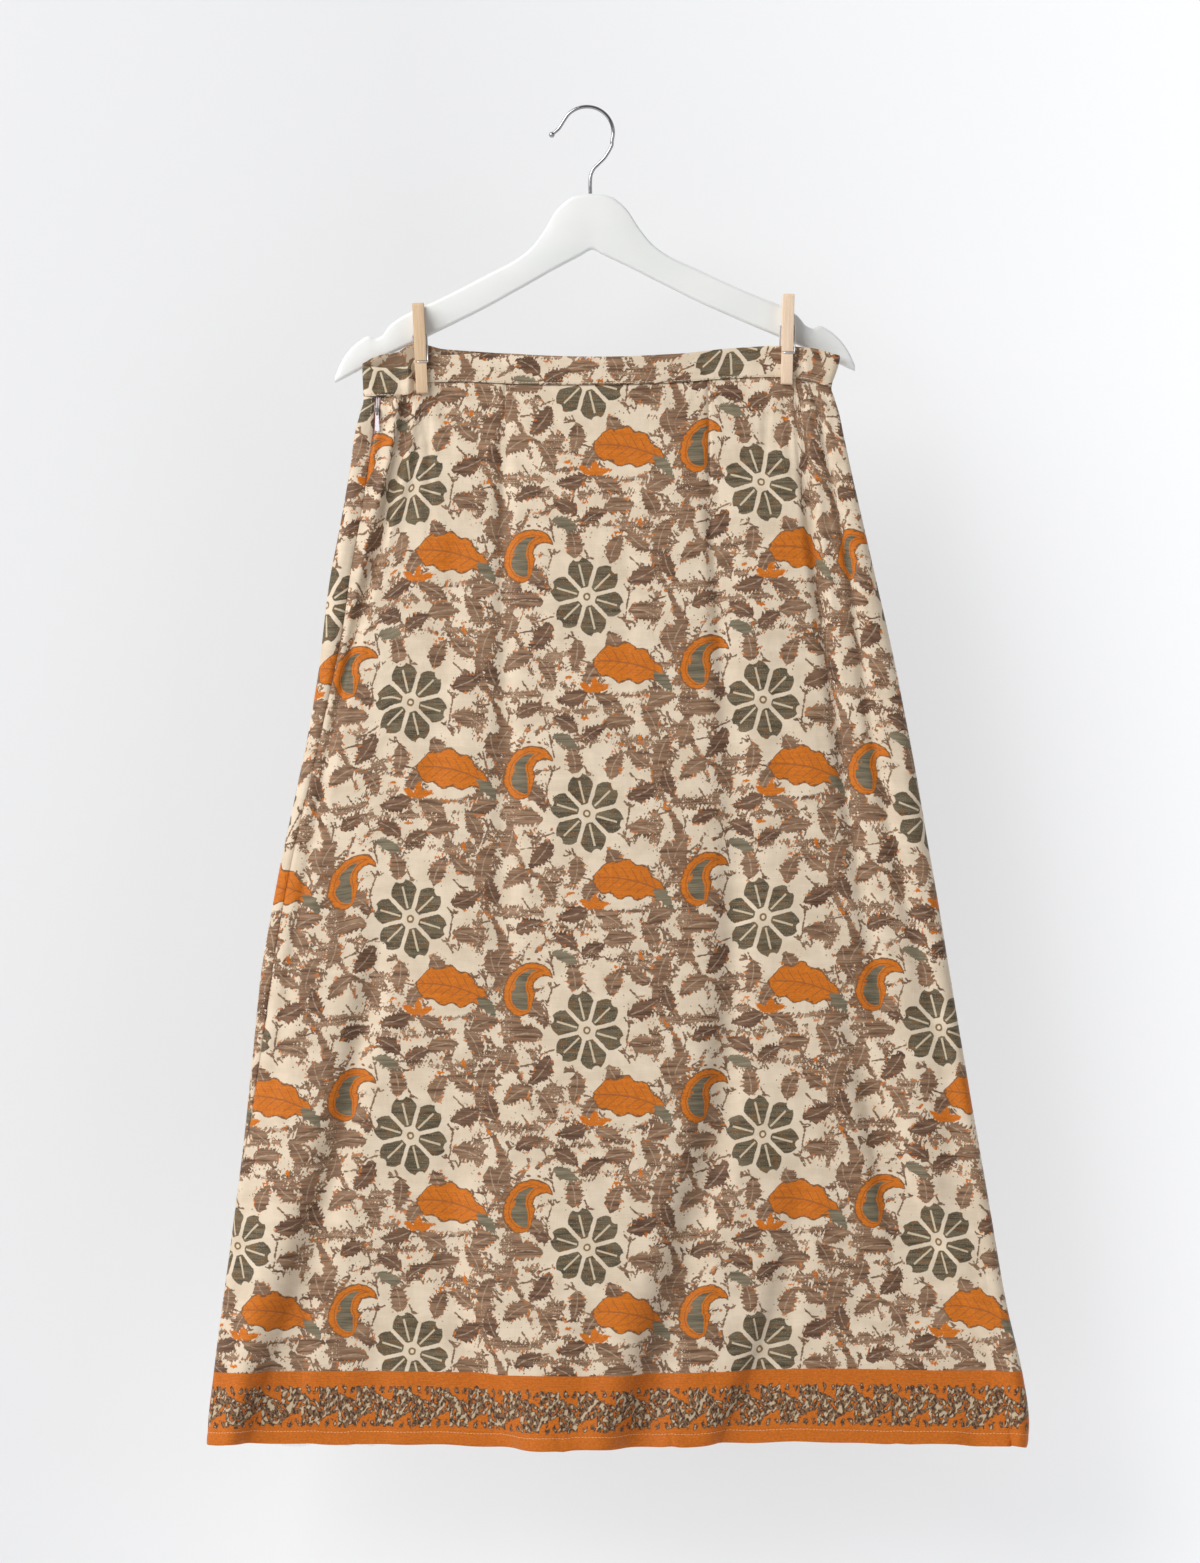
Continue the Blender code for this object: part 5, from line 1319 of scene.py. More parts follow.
class Panel:
    """One skirt panel as a fine grid with its cloth coordinates."""

    def __init__(self, front, cols):
        self.front = front
        body = np.arange(0.0, SKIRT_LENGTH - BORDER, ROW_STEP)
        low = np.linspace(body[-1] + ROW_STEP, SKIRT_LENGTH - 1.6, 24)
        self.rows = np.concatenate([[0.0], body[1:], low, [SKIRT_LENGTH - 0.8, SKIRT_LENGTH - 0.3, SKIRT_LENGTH]])
        self.cols = cols
        darts = FRONT_DARTS if front else BACK_DARTS
        spans = DART_COLUMNS[0 if front else 1]
        grid, s_all, edge = [], [], []
        for v in self.rows:
            down = v / SKIRT_LENGTH
            ring = Ring(down)
            left, right = ring.seam_angles()
            a, b = ring.length_at(left), ring.length_at(right)
            if front:
                start, stop = a + 0.12 + gape(v), b - 0.12
                half = (ring.angles > 0) & (ring.angles < PI)
                to_length = lambda x: np.interp(x, ring.points[half][:, 0], ring.lengths[half])
                centre = to_length(0.0)
            else:
                start, stop = b + 0.12, a + ring.total - 0.12
                half = (ring.angles > PI) & (ring.angles < 2 * PI)
                to_length = lambda x: np.interp(-x, -ring.points[half][:, 0], ring.lengths[half])
                centre = to_length(10.0)
            # close columns run down both darts, so that their seams stay crisp
            marks = [start]
            fix = min(v / 150.0, 1.0)
            for x0, x1, length, take in (darts if front else darts[::-1]):
                at = to_length(x0 + (x1 - x0) * min(v / length, 1.0))
                gap = 0.75 + 1.6 * fix
                marks += [at - gap, at, at + gap]
            marks.append(stop)
            s = np.concatenate([[marks[0]]] + [m0 + (m1 - m0) * np.arange(1, n + 1) / n for m0, m1, n in zip(marks, marks[1:], spans)])
            # closer columns beside the seams
            t = (s - start) / (stop - start)
            s = start + (stop - start) * np.where(t < 0.04, t * t / 0.04 * 0.5 + t * 0.5, np.where(t > 0.96, 1 - ((1 - t) ** 2 / 0.04 * 0.5 + (1 - t) * 0.5), t))
            grid.append(cloth(ring.angle_at(s), down))
            s_all.append(s - centre)
            edge.append(np.minimum(s - start, stop - s))
        self.base = np.array(grid)
        self.s = np.array(s_all)
        self.edge = np.array(edge)
        self.v = np.repeat(self.rows[:, None], cols, axis=1)
        self.n = normals_of(self.base)
        x, z = self.base[..., 0], self.base[..., 2]
        keep = ease(self.edge / 9.0)
        lift = (1.45 * creases(FRONT_CREASES if front else BACK_CREASES, x, z)
                + 1.35 * slack(x, z, 0.0 if front else 2.4) * ease((self.v - 4.0) / 70.0)) * keep
        lift += 1.3 * puckers(FRONT_PUCKERS if front else BACK_PUCKERS, x, z) * ease(self.edge / 3.0)
        if front:  # the gathered cloth beside the zip stands away
            lift += 1.5 * np.exp(-(((x + 156.0) / 13.0) ** 2) - ((z + 256.0) / 26.0) ** 2) * ease(self.edge / 5.0)
        # the big folds again, tighter, so that their flanks turn from the light
        side = np.minimum(x - curve(SILHOUETTE, z, 1), curve(SILHOUETTE, z, 2) - x)
        tight = [(n, tr, w0 * 0.75, w1 * 0.70, s0, s1, g0, g1) for n, tr, w0, w1, s0, s1, g0, g1 in (FRONT_FOLDS if front else BACK_FOLDS)]
        lift += 1.3 * fold_relief(tight, x, z) * ease((side - 1.0) / 22.0) * ease((-232.0 - z) / 40.0)
        # the cloth falls back towards both side folds, most of all low down
        lift -= 5.0 * np.exp(-((side / 30.0) ** 2)) * ease((-520.0 - z) / 460.0) * ease(side / 12.0)
        # seams: the cloth turns in at both side seams and under the band
        lift -= 1.5 * np.exp(-((self.edge / 1.5) ** 2)) + 0.7 * np.exp(-((self.edge / 4.5) ** 2))
        lift -= 0.75 * np.exp(-((self.v / 1.2) ** 2)) + 0.3 * np.exp(-((self.v / 4.0) ** 2))
        # the fold of the hem turns in, with the pull of its stitches above it
        turn = SKIRT_LENGTH - self.v
        lift -= 0.45 * np.exp(-((turn / 0.55) ** 2)) + 0.30 * np.exp(-(((turn - HEM_TURN) / 1.3) ** 2))
        lift += 0.22 * np.exp(-(((turn - 5.2) / 3.2) ** 2))
        # darts
        u = self.s.copy()
        for x0, x1, length, take in (FRONT_DARTS if front else BACK_DARTS):
            tx = x0 + (x1 - x0) * np.clip(self.v / length, 0, 1)
            live = np.clip(1.0 - self.v / length, 0, 1)
            d = x - tx
            lift -= (1.9 * np.exp(-((d / 0.8) ** 2)) + 0.55 * np.exp(-((d / 3.2) ** 2))) * ease(live / 0.22)
            side = 1.0 if front else -1.0
            if x0 < 0:
                u += np.where(d * 1.0 < 0, -1.0, 0.0) * take * live * side
            else:
                u += np.where(d * 1.0 > 0, 1.0, 0.0) * take * live * side
        for track, hidden, low in (FRONT_TUCKS if front else BACK_TUCKS):
            top = track[0][0]
            live = hidden * (1.0 - ease((top - z) / (top - low))) * ease((self.v + 6.0) / 10.0)
            d = (x - curve(track, z, 1)) / 2.6
            side = 1.0 if front else -1.0
            if track[0][1] > 0:
                u += 0.5 * (1 + np.tanh(d)) * live * side
            else:
                u -= 0.5 * (1 - np.tanh(d)) * live * side
        self.u = u
        # no dip reaches the other side of the skirt
        room = np.abs(self.base[..., 1] - curve(DEPTHS, z, 4)) - 0.62
        lift = np.maximum(lift, -np.maximum(room, 0.0) * np.clip(np.abs(self.n[..., 1]), 0.3, 1.0))
        self.mid = self.base + self.n * lift[..., None]
        # the hem's edge runs a little unevenly
        wave = 0.55 * np.sin(x / 23.0 + 0.8) + 0.40 * np.sin(x / 9.0 + 2.0) + 0.30 * np.sin(x / 61.0)
        kinks = sum(k * np.exp(-(((x - at) / w) ** 2)) for at, w, k in HEM_KINKS[0 if front else 1])
        rise = wave * 0.8 + kinks - 0.7 - 1.9 * ease((x - 296.0) / 20.0) if front else wave * 0.4 + kinks * 0.5 + 1.6
        self.mid[..., 2] += rise * ease((self.v - (SKIRT_LENGTH - 46.0)) / 46.0)
        self.n2 = normals_of(self.mid)

    def line(self, v, inset=0.0):
        """Points and normals of the shell along one level."""
        k = np.searchsorted(self.rows, v)
        k = int(np.clip(k, 1, len(self.rows) - 1))
        f = (v - self.rows[k - 1]) / (self.rows[k] - self.rows[k - 1])
        p = self.mid[k - 1] * (1 - f) + self.mid[k] * f
        n = self.n2[k - 1] * (1 - f) + self.n2[k] * f
        return p, n


def print_attrs(u, q):
    ink = ink_fields(u, q)
    one = np.stack([ink["taupe"], ink["brown"], ink["mass"]], axis=-1)
    two = np.stack([ink["rib"], ink["twig"], ink["zone"]], axis=-1)
    three = np.stack([ink["olive"], ink["fleck"], ink["along"]], axis=-1)
    return {"inks": one, "inks2": two, "inks3": three}


def build_panels(mats):
    made = {}
    for key, is_front, shift_u, shift_q in (("front", True, 0.0, 0.0), ("back", False, 53.0, 0.0)):
        panel = Panel(is_front, 281 if is_front else 277)
        u, q = panel.u + shift_u, -panel.v
        uv = np.stack([u, q], axis=-1)
        obj = shell("skirt_cloth_" + key, panel.mid, panel.n2, uv, T_CLOTH, mats, print_attrs(u, q), every=3)
        on_root(obj, ["skirt_" + key])
        made[key] = (panel, obj)
    return made


def build_hems(panels, cloth_mat, thread, serge):
    """The turned-up allowance inside the hem, its overlocked edge and its stitches."""
    for key in ("front", "back"):
        panel, obj = panels[key]
        cols = slice(2, -2)
        levels = [SKIRT_LENGTH - 0.5, SKIRT_LENGTH - 2.5, SKIRT_LENGTH - 5.0, SKIRT_LENGTH - 7.5, SKIRT_LENGTH - 9.6]
        grid, norm = [], []
        for k, v in enumerate(levels[::-1]):
            p, n = panel.line(v)
            grid.append(p[cols] - n[cols] * (0.35 + 0.12 + 0.25))
            norm.append(n[cols])
        grid, norm = np.array(grid), np.array(norm)
        grid[0] -= norm[0] * 0.15
        u = np.repeat(panel.s[-1][cols][None], len(levels), axis=0)
        q = -np.array(levels[::-1])[:, None] + np.zeros_like(u)
        hem = shell("hem_turn_" + key, grid, norm, np.stack([u, q], -1), 0.45, [cloth_mat], every=2)
        on_root(hem, ["hem_" + key])
        # overlock: a zig-zag of loops over the raw edge
        top, tn = grid[0], norm[0]
        at, spots = walk(top, tn, 2.0, -2.0, 1.5, 0.0)
        back, _ = walk(top, tn, 2.0, -2.0, 1.5, -0.45)
        pts = []
        for k, d in enumerate(spots):
            p = back(d)
            p[2] += 0.35 if k % 2 else -1.9
            pts.append(p)
        v, f = tube_mesh(smooth_line(pts, 2), 0.16, sides=4)
        edge = mesh_object("hem_overlock_" + key, v, f, [serge])
        on_root(edge)
        p, n = panel.line(SKIRT_LENGTH - HEM_TURN)
        row = stitch_row("hem_stitches_" + key, p, n, thread, length=2.2, gap=0.5, radius=0.15, start=3.0, stop=-3.0, lift=0.45)
        on_root(row)


def loose_edges(panels, serge):
    """Short lengths of the overlocked edge that have slipped below the hem."""
    panel, _ = panels["front"]
    line, norm = panel.mid[-1], panel.n2[-1]
    order = line[:, 0]
    for k, (x0, x1, out) in enumerate(((-245.8, -222.5, 2.5), (-195.0, -188.6, 1.9), (-177.4, -170.8, 1.7))):
        pts = []
        for i, x in enumerate(np.arange(x0, x1, 0.62)):
            p = np.array([np.interp(x, order, line[:, m]) for m in range(3)])
            n = np.array([np.interp(x, order, norm[:, m]) for m in range(3)])
            t = (x - x0) / (x1 - x0)
            dip = out * (0.35 + 0.65 * math.sin(PI * t)) * (1.0 + 0.15 * math.sin(i * 2.1))
            p = p - n / np.linalg.norm(n) * 0.9
            p[2] += 0.8 if i % 2 else -dip
            pts.append(p)
        v, f = tube_mesh(pts, 0.22, sides=4)
        edge = mesh_object("hem_loose_overlock_%d" % (k + 1), v, f, [serge])
        on_root(edge)


BAND_U = 40.0  # where the band was cut from the print


def build_band(mats):
    """The waistband: a folded strip, its ends meeting over the zip."""
    base_l, top_l = Ring(0.0, 0.0), Ring(0.0, 1.0)
    count = 420
    lo, hi = BAND_SLIT / 2, 2 * PI - BAND_SLIT / 2
    mid_ring = Ring(0.0, 0.5)
    s0, s1 = mid_ring.length_at(lo), mid_ring.length_at(hi)
    s = np.linspace(s0, s1, count)
    angles = mid_ring.angle_at(s)
    levels = np.concatenate([[0.0, 0.02], np.linspace(0.06, 0.94, 13), [0.98, 1.0]])
    grid = np.array([cloth(angles, 0.0, b) for b in levels[::-1]])
    n = normals_of(grid)
    x, z = grid[..., 0], grid[..., 2]
    h = levels[::-1][:, None]
    # a soft pillow between the seam and the top fold, flat under the pegs
    pillow = 0.35 * np.sin(PI * np.clip(h, 0, 1)) ** 0.7
    for px in PEG_X:
        pillow = pillow * (1.0 - 0.8 * np.exp(-(((x - px) / 6.0) ** 4)))
    roll = -0.5 * np.exp(-(((1.0 - h) / 0.035) ** 2)) - 0.15 * np.exp(-((h / 0.02) ** 2))
    wob = 0.20 * np.sin(x / 8.3 + 0.6) * np.sin(PI * h) + 0.16 * np.sin(x / 4.1 + h * 2.6) * np.sin(PI * h)
    # short drag lines beside the pegs and over the drooping left end
    for cx, amp, wide in ((-141.0, 0.8, 1.5), (-146.5, 0.45, 1.8), (-120.5, 0.5, 1.6), (-168.0, 0.4, 2.4), (-175.5, 0.5, 2.0),
                          (150.0, 0.5, 1.6), (171.5, 0.6, 1.7), (180.0, 0.5, 2.4), (192.0, 0.4, 2.6), (30.0, 0.2, 3.0), (-70.0, 0.25, 2.0), (95.0, 0.25, 2.0)):
        lean = (h - 0.5) * 3.0 * (1 if cx < 0 else -1)
        wob = wob - amp * np.exp(-(((x - cx - lean) / wide) ** 2))
    # the band swells out left of the left peg and dives under it; less at the right
    facing = np.repeat(((angles % (2 * PI)) <= PI)[None], len(levels), axis=0) * 1.0
    tuck = 5.2 * np.exp(-(((x + 144.4) / 3.4) ** 2)) - 1.3 * np.exp(-(((x + 138.9) / 1.7) ** 2))
    tuck += 1.8 * np.exp(-(((x - 177.0) / 4.5) ** 2)) - 0.8 * np.exp(-(((x - 169.0) / 1.8) ** 2))
    wob = wob + tuck * facing * (0.55 + 0.45 * np.sin(PI * np.clip(h * 0.8 + 0.1, 0, 1)))
    grid = grid + n * (0.40 + pillow + roll + wob)[..., None]
    # the top edge sags between the pegs, most beside the left one
    sag = 3.2 * np.exp(-(((x + 116.0) / np.where(x < -116.0, 11.0, 34.0)) ** 2)) + 1.7 * np.exp(-(((x + 15.0) / 62.0) ** 2))
    grid[..., 2] -= sag * np.clip(h, 0, 1) ** 1.5
    n = normals_of(grid)
    length = s - mid_ring.length_at(PI / 2)
    tall = 24.4
    u = np.repeat((length + BAND_U)[None], len(levels), axis=0)
    q = 60.0 + levels[::-1][:, None] * tall + np.zeros_like(u)
    band = shell("waistband_cloth", grid, n, np.stack([u, q], -1), 0.9, mats, print_attrs(u, q), every=3)
    on_root(band, ["waistband"])
    return grid, n, angles, band


# ======================================================================== zip
def build_zip(tape_mat, coil_mat, metal, pull_mat, shade):
    rows = np.concatenate([np.linspace(0.6, 44.0, 24), np.linspace(48.0, ZIP_LENGTH, 26)])
    for key, side in (("front", 1), ("back", -1)):
        grid, norm, ulist, edge = [], [], [], []
        for drop in rows:
            ring = Ring(drop / SKIRT_LENGTH)
            seam = ring.length_at(ring.seam_angles()[0]) + 0.5 * gape(drop)
            reach = np.linspace(0.15, TAPE_WIDTH, 13)
            line = ring.angle_at(seam + side * reach)
            pts = cloth(line, ring.down)
            more = cloth(line + 0.01, ring.down) - cloth(line - 0.01, ring.down)
            below = cloth(line, ring.down + 0.004) - cloth(line, ring.down - 0.004)
            nn = np.cross(below, more)
            nn /= np.linalg.norm(nn, axis=1, keepdims=True)
            pts = pts - nn * (3.0 - 1.0 * math.exp(-(((drop - 12.0) / 16.0) ** 2)))
            grid.append(pts if side > 0 else pts[::-1])
            norm.append(nn if side > 0 else nn[::-1])
            ulist.append(reach * side if side > 0 else (reach * side)[::-1])
        grid, norm, u = np.array(grid), np.array(norm), np.array(ulist)
        q = np.repeat(-rows[:, None], u.shape[1], axis=1)
        ripple = 0.10 * np.sin(q / 3.1 + u)
        tape = shell("zip_cloth_tape_" + key, grid + norm * ripple[..., None], norm, np.stack([u, q], -1), 0.5, [tape_mat], every=2)
        on_root(tape, ["zip_tape_" + key])
        # the coil sewn along the tape's edge: turns of a thin nylon wire
        k = 0 if side > 0 else -1
        spine = grid[:, k] + norm[:, k] * 0.55
        across = grid[:, k + side] - grid[:, k]
        across /= np.linalg.norm(across, axis=1, keepdims=True)
        seg = np.concatenate([[0.0], np.cumsum(np.linalg.norm(np.diff(spine, axis=0), axis=1))])
        pitch, pts = 1.25, []
        turns = int((seg[-1] - 4.0) / pitch)
        for i in range(turns * 8):
            d = 2.0 + pitch * i / 8
            a = 2 * PI * i / 8 + (0.0 if side > 0 else PI)
            c = np.array([np.interp(d, seg, spine[:, m]) for m in range(3)])
            w = np.array([np.interp(d, seg, across[:, m]) for m in range(3)])
            o = np.array([np.interp(d, seg, norm[:, k, m]) for m in range(3)])
            pts.append(c + w * (0.55 + 0.62 * math.cos(a)) + o * (0.42 * math.sin(a)))
        v, f = tube_mesh(pts, 0.17, sides=4)
        coil = mesh_object("zip_coil_" + key, v, f, [coil_mat])
        on_root(coil)
    return


def placket_edges(panels, mat, thread):
    """The folded edges either side of the gap, and the line of stitching down them."""
    panel, _ = panels["front"]
    back, _ = panels["back"]
    for key, pan, col in (("front", panel, 0), ("back", back, -1)):
        inner = 3 if col == 0 else -4
        keep = pan.rows <= 46.0
        rows = np.concatenate([pan.rows[keep]])
        line = pan.mid[: len(rows), inner]
        norm = pan.n2[: len(rows), inner]
        row = stitch_row("zip_stitches_" + key, line, norm, thread, length=2.0, gap=0.6, radius=0.14, start=1.0, stop=-1.0, lift=0.4)
        on_root(row)
        # rolled lip of the turned-in cloth along the opening, dark red-brown: the edge's own red-brown with painted
        # shade of the gap
        lip = pan.mid[: len(rows), col] - pan.n2[: len(rows), col] * 0.15
        lip[:, 0] += -0.35 if col == 0 else 0.45
        fine = np.where(rows < 34.0, 0.72, 0.45)
        v, f = tube_mesh(lip, fine, sides=8)
        lip_obj = mesh_object("placket_lip_" + key, v, f, [mat], uv=np.array(v)[:, [0, 2]])
        on_root(lip_obj)


# ===================================================================== hanger
HANGER_TILT = -1.3
HANGER_SHIFT = 1.6
HANGER_THICK = 12.0
HANGER_ARM = (
    (0.0, -69.3, -114.2),
    (9.0, -69.9, -118.6),
    (17.0, -72.2, -122.6),
    (23.0, -76.6, -125.6),
    (29.0, -82.8, -128.6),
    (38.5, -98.0, -133.6),
    (49.5, -111.6, -139.6),
    (61.6, -120.6, -146.0),
    (84.0, -131.8, -157.8),
    (110.0, -144.6, -170.2),
    (134.0, -155.6, -181.2),
    (152.0, -163.2, -189.2),
    (165.0, -171.8, -195.2),
    (171.5, -179.8, -198.2),
    (177.0, -182.0, -201.0),
    (182.0, -180.0, -203.4),
    (191.0, -184.6, -207.8),
    (199.5, -192.8, -212.0),
    (206.0, -203.0, -215.2),
    (210.0, -212.0, -217.0),
)
HOOK_WIRE = 3.0
HOOK_RADIUS = 21.2
HOOK_STEM = ((19.6, -30.6), (14.6, -39.2), (9.4, -44.6), (5.2, -49.0), (3.1, -54.2), (2.6, -60.6), (2.7, -68.7))
HOOK_TIP = ((-26.4, -19.4), (-22.6, -15.9))
HOOK_BALL = 4.8


def spline(xs, ys, at):
    """Natural cubic through points, for a soft outline."""
    n = len(xs)
    h = np.diff(xs)
    a = np.zeros((n, n))
    b = np.zeros(n)
    a[0, 0] = a[-1, -1] = 1.0
    for i in range(1, n - 1):
        a[i, i - 1], a[i, i], a[i, i + 1] = h[i - 1], 2 * (h[i - 1] + h[i]), h[i]
        b[i] = 6 * ((ys[i + 1] - ys[i]) / h[i] - (ys[i] - ys[i - 1]) / h[i - 1])
    m = np.linalg.solve(a, b)
    k = np.clip(np.searchsorted(xs, at) - 1, 0, n - 2)
    t0, t1 = xs[k + 1] - at, at - xs[k]
    return (m[k] * t0**3 + m[k + 1] * t1**3) / (6 * h[k]) + (ys[k] / h[k] - m[k] * h[k] / 6) * t0 + (ys[k + 1] / h[k] - m[k + 1] * h[k] / 6) * t1


def build_hanger(paint, chrome):
    d = np.array([r[0] for r in HANGER_ARM])
    top = np.array([r[1] for r in HANGER_ARM])
    low = np.array([r[2] for r in HANGER_ARM])
    d2 = np.concatenate([-d[:0:-1], d])
    t2, l2 = np.concatenate([top[:0:-1], top]), np.concatenate([low[:0:-1], low])
    arm = np.concatenate([np.linspace(0, 160, 90)[:-1], np.linspace(160, 206, 58)[:-1], [206.6, 207.6, 208.5, 209.2, 209.7, 210.0]])
    at = np.concatenate([-arm[:0:-1], arm])
    tz, lz = curve_line(d2, t2, at), curve_line(d2, l2, at)
    half = HANGER_THICK / 2
    verts, faces = [], []
    n = 32
    for x, t, l in zip(at, tz, lz):
        end = max(0.0, (abs(x) - 203.0) / 7.0)
        depth = half * math.sqrt(max(0.02, 1.0 - 0.55 * end * end))
        r = min(3.3, 0.46 * (t - l), depth * 0.9)
        cx, cz = depth - r, (t - l) / 2 - r
        mid = (t + l) / 2
        for k in range(n):
            a = 2 * PI * (k + 0.5) / n
            ca, sa = math.cos(a), math.sin(a)
            y = math.copysign(cx, ca) + r * ca
            z = mid + math.copysign(cz, sa) + r * sa
            verts.append((x + HANGER_SHIFT, y, z))
    for i in range(len(at) - 1):
        for k in range(n):
            m = (k + 1) % n
            faces.append((i * n + k, (i + 1) * n + k, (i + 1) * n + m, i * n + m))
    last = (len(at) - 1) * n
    faces += [tuple(range(n)), tuple(range(last, last + n))[::-1]]
    tilt = math.radians(HANGER_TILT)
    v = np.array(verts)
    rot = np.array([[math.cos(tilt), 0, math.sin(tilt)], [0, 1, 0], [-math.sin(tilt), 0, math.cos(tilt)]])
    v = v @ rot.T
    obj = mesh_object("hanger_wood", v, faces, [paint])
    fix_normals(obj)
    on_root(obj, ["hanger_body"])

    middle = -(HOOK_RADIUS - HOOK_WIRE / 2)
    knots = list(HOOK_TIP)
    for k in range(10):
        a = math.radians(154.0 - 172.0 * k / 9)
        knots.append((HOOK_RADIUS * math.cos(a), middle + HOOK_RADIUS * math.sin(a)))
    knots += list(HOOK_STEM)
    pts = smooth_line([(x, 0.0, z) for x, z in knots], 10)
    v, f = tube_mesh(pts, HOOK_WIRE / 2, sides=20)
    hook = mesh_object("hanger_hook_wire", v, f, [chrome])
    fix_normals(hook)
    on_root(hook, ["hanger_hook"])
    # turned ball end with its short neck
    tip, after = np.array([HOOK_TIP[0][0], 0.0, HOOK_TIP[0][1]]), np.array([HOOK_TIP[1][0], 0.0, HOOK_TIP[1][1]])
    out = (tip - after) / np.linalg.norm(tip - after)
    prof = [(-0.25, 1.42), (0.05, 1.46), (0.3, 1.3)]
    for k in range(1, 16):
        a = PI * (0.16 + 0.84 * k / 15)
        prof.append((0.3 + 2.4 - 2.4 * math.cos(a), max(0.02, 2.4 * math.sin(a))))
    pts = [tip + out * a for a, _ in prof]
    v, f = tube_mesh(pts, [r for _, r in prof], sides=24)
    ball = mesh_object("hook_ball_end", v, f, [chrome])
    fix_normals(ball)
    on_root(ball, ["hook_ball"])
    # the threaded socket where the hook enters the wood
    c = np.array([2.7, 0.0, -69.9])
    rings = [(0.75, 1.9), (0.6, 2.5), (0.25, 2.7), (-0.2, 2.75), (-0.6, 2.6)]
    v, f = tube_mesh([c + np.array([0, 0, a]) for a, _ in rings], [r for _, r in rings], sides=24)
    collar = mesh_object("hook_collar", v, f, [chrome])
    fix_normals(collar)
    on_root(collar)


def curve_line(xs, ys, at):
    """Monotone curve through plain arrays."""
    table = tuple(zip(xs.tolist(), ys.tolist()))
    keep.append(table)
    return curve(table, at, 1)


keep = []  # tables made while running stay alive, since fits are kept by identity


def fix_normals(obj):
    bm = bmesh.new()
    bm.from_mesh(obj.data)
    bmesh.ops.recalc_face_normals(bm, faces=bm.faces)
    bm.to_mesh(obj.data)
    bm.free()


# ======================================================================= pegs
PEG_WIDTH, PEG_LENGTH, PEG_LEG, PEG_HALF_GAP = 9.4, 73.0, 6.15, 1.85
COIL_HEIGHT, WIRE_CROSSING, SPRING_WIRE = 46.0, 25.4, 1.4
COIL_RADIUS, COIL_TURNS = 2.3, 3.5
GAP = 0.3


def peg_leg_profile():
    """Side view of one leg: depth out of the jaw plane, height from the jaw."""
    t = PEG_LEG
    groove = (WIRE_CROSSING - 1.0, WIRE_CROSSING + 1.0)
    points = [
        (0.9, 0.0), (4.6, 0.0), (5.7, 0.8), (t, 3.0),
        (t, groove[0]), (t - 1.15, groove[0]), (t - 1.15, groove[1]), (t, groove[1]),
        (t, PEG_LENGTH - 2.0), (t - 1.2, PEG_LENGTH), (3.4, PEG_LENGTH), (2.9, PEG_LENGTH - 0.8),
        (0.0, 51.0),
    ]

    def notch(depth_centre, height, radius, steps):
        reach = math.acos(-depth_centre / radius)
        for k in range(steps + 1):
            a = reach - 2.0 * reach * k / steps
            points.append((depth_centre + radius * math.cos(a), height + radius * math.sin(a)))

    notch(-PEG_HALF_GAP, COIL_HEIGHT, COIL_RADIUS + SPRING_WIRE / 2 + GAP, 12)
    notch(-0.9, 14.0, 2.6, 8)
    points.append((0.0, 1.0))
    return points


def spring_path():
    side = PEG_WIDTH / 2 + GAP + SPRING_WIRE / 2
    out = PEG_HALF_GAP + PEG_LEG - 1.15 + GAP + SPRING_WIRE / 2
    low = WIRE_CROSSING
    front = [(-3.2, -out, low), (side - 1.4, -out, low), (side - 0.3, -out + 0.3, low + 0.3), (side, -out + 0.9, low + 1.6)]
    coil = []
    steps = int(COIL_TURNS * 8)
    for k in range(steps + 1):
        a = 2.0 * PI * COIL_TURNS * k / steps
        coil.append((side - 2.0 * side * k / steps, -COIL_RADIUS * math.cos(a), COIL_HEIGHT + COIL_RADIUS * math.sin(a)))
    back = [(-x, -y, z) for x, y, z in front[::-1]]
    return front + coil + back


def build_pegs(woods, steel):
    for (name, x, z, lean), wood in zip(PEGS, woods):
        place = Matrix.Translation((x, BAND_MID_Y, z)) @ Matrix.Rotation(math.radians(lean), 4, "Y")
        profile = peg_leg_profile()
        n = len(profile)
        for part, way in (("front", -1.0), ("back", 1.0)):
            bm = bmesh.new()
            ends = []
            for xs in (-PEG_WIDTH / 2, PEG_WIDTH / 2):
                ends.append([bm.verts.new((xs, way * (PEG_HALF_GAP + d), h)) for d, h in profile])
            bm.faces.new(ends[0])
            bm.faces.new(ends[1][::-1])
            for k in range(n):
                m = (k + 1) % n
                bm.faces.new((ends[0][k], ends[0][m], ends[1][m], ends[1][k]))
            bmesh.ops.recalc_face_normals(bm, faces=bm.faces)
            sharp = [e for e in bm.edges if len(e.link_faces) == 2 and e.calc_face_angle() > math.radians(28)]
            bmesh.ops.bevel(bm, geom=sharp, offset=0.42, offset_type="OFFSET", segments=3, profile=0.5, affect="EDGES", clamp_overlap=True)
            bmesh.ops.triangulate(bm, faces=[f for f in bm.faces if len(f.verts) > 8])
            bmesh.ops.recalc_face_normals(bm, faces=bm.faces)
            bmesh.ops.transform(bm, matrix=Matrix.Scale(MM, 4) @ place, verts=bm.verts)
            mesh = bpy.data.meshes.new(f"{name}_wood_{part}")
            bm.to_mesh(mesh)
            bm.free()
            mesh.materials.append(wood)
            mesh.shade_smooth()
            mesh.set_sharp_from_angle(angle=math.radians(38))
            obj = bpy.data.objects.new(f"{name}_wood_{part}", mesh)
            bpy.context.scene.collection.objects.link(obj)
            on_root(obj, [f"{name}_leg_{part}"])
        pts = [place @ Vector(p) for p in smooth_line(spring_path(), 4)]
        v, f = tube_mesh(np.array([tuple(p) for p in pts]), SPRING_WIRE / 2, sides=12)
        obj = mesh_object(name + "_spring_wire", v, f, [steel])
        fix_normals(obj)
        on_root(obj, [name + "_spring"])


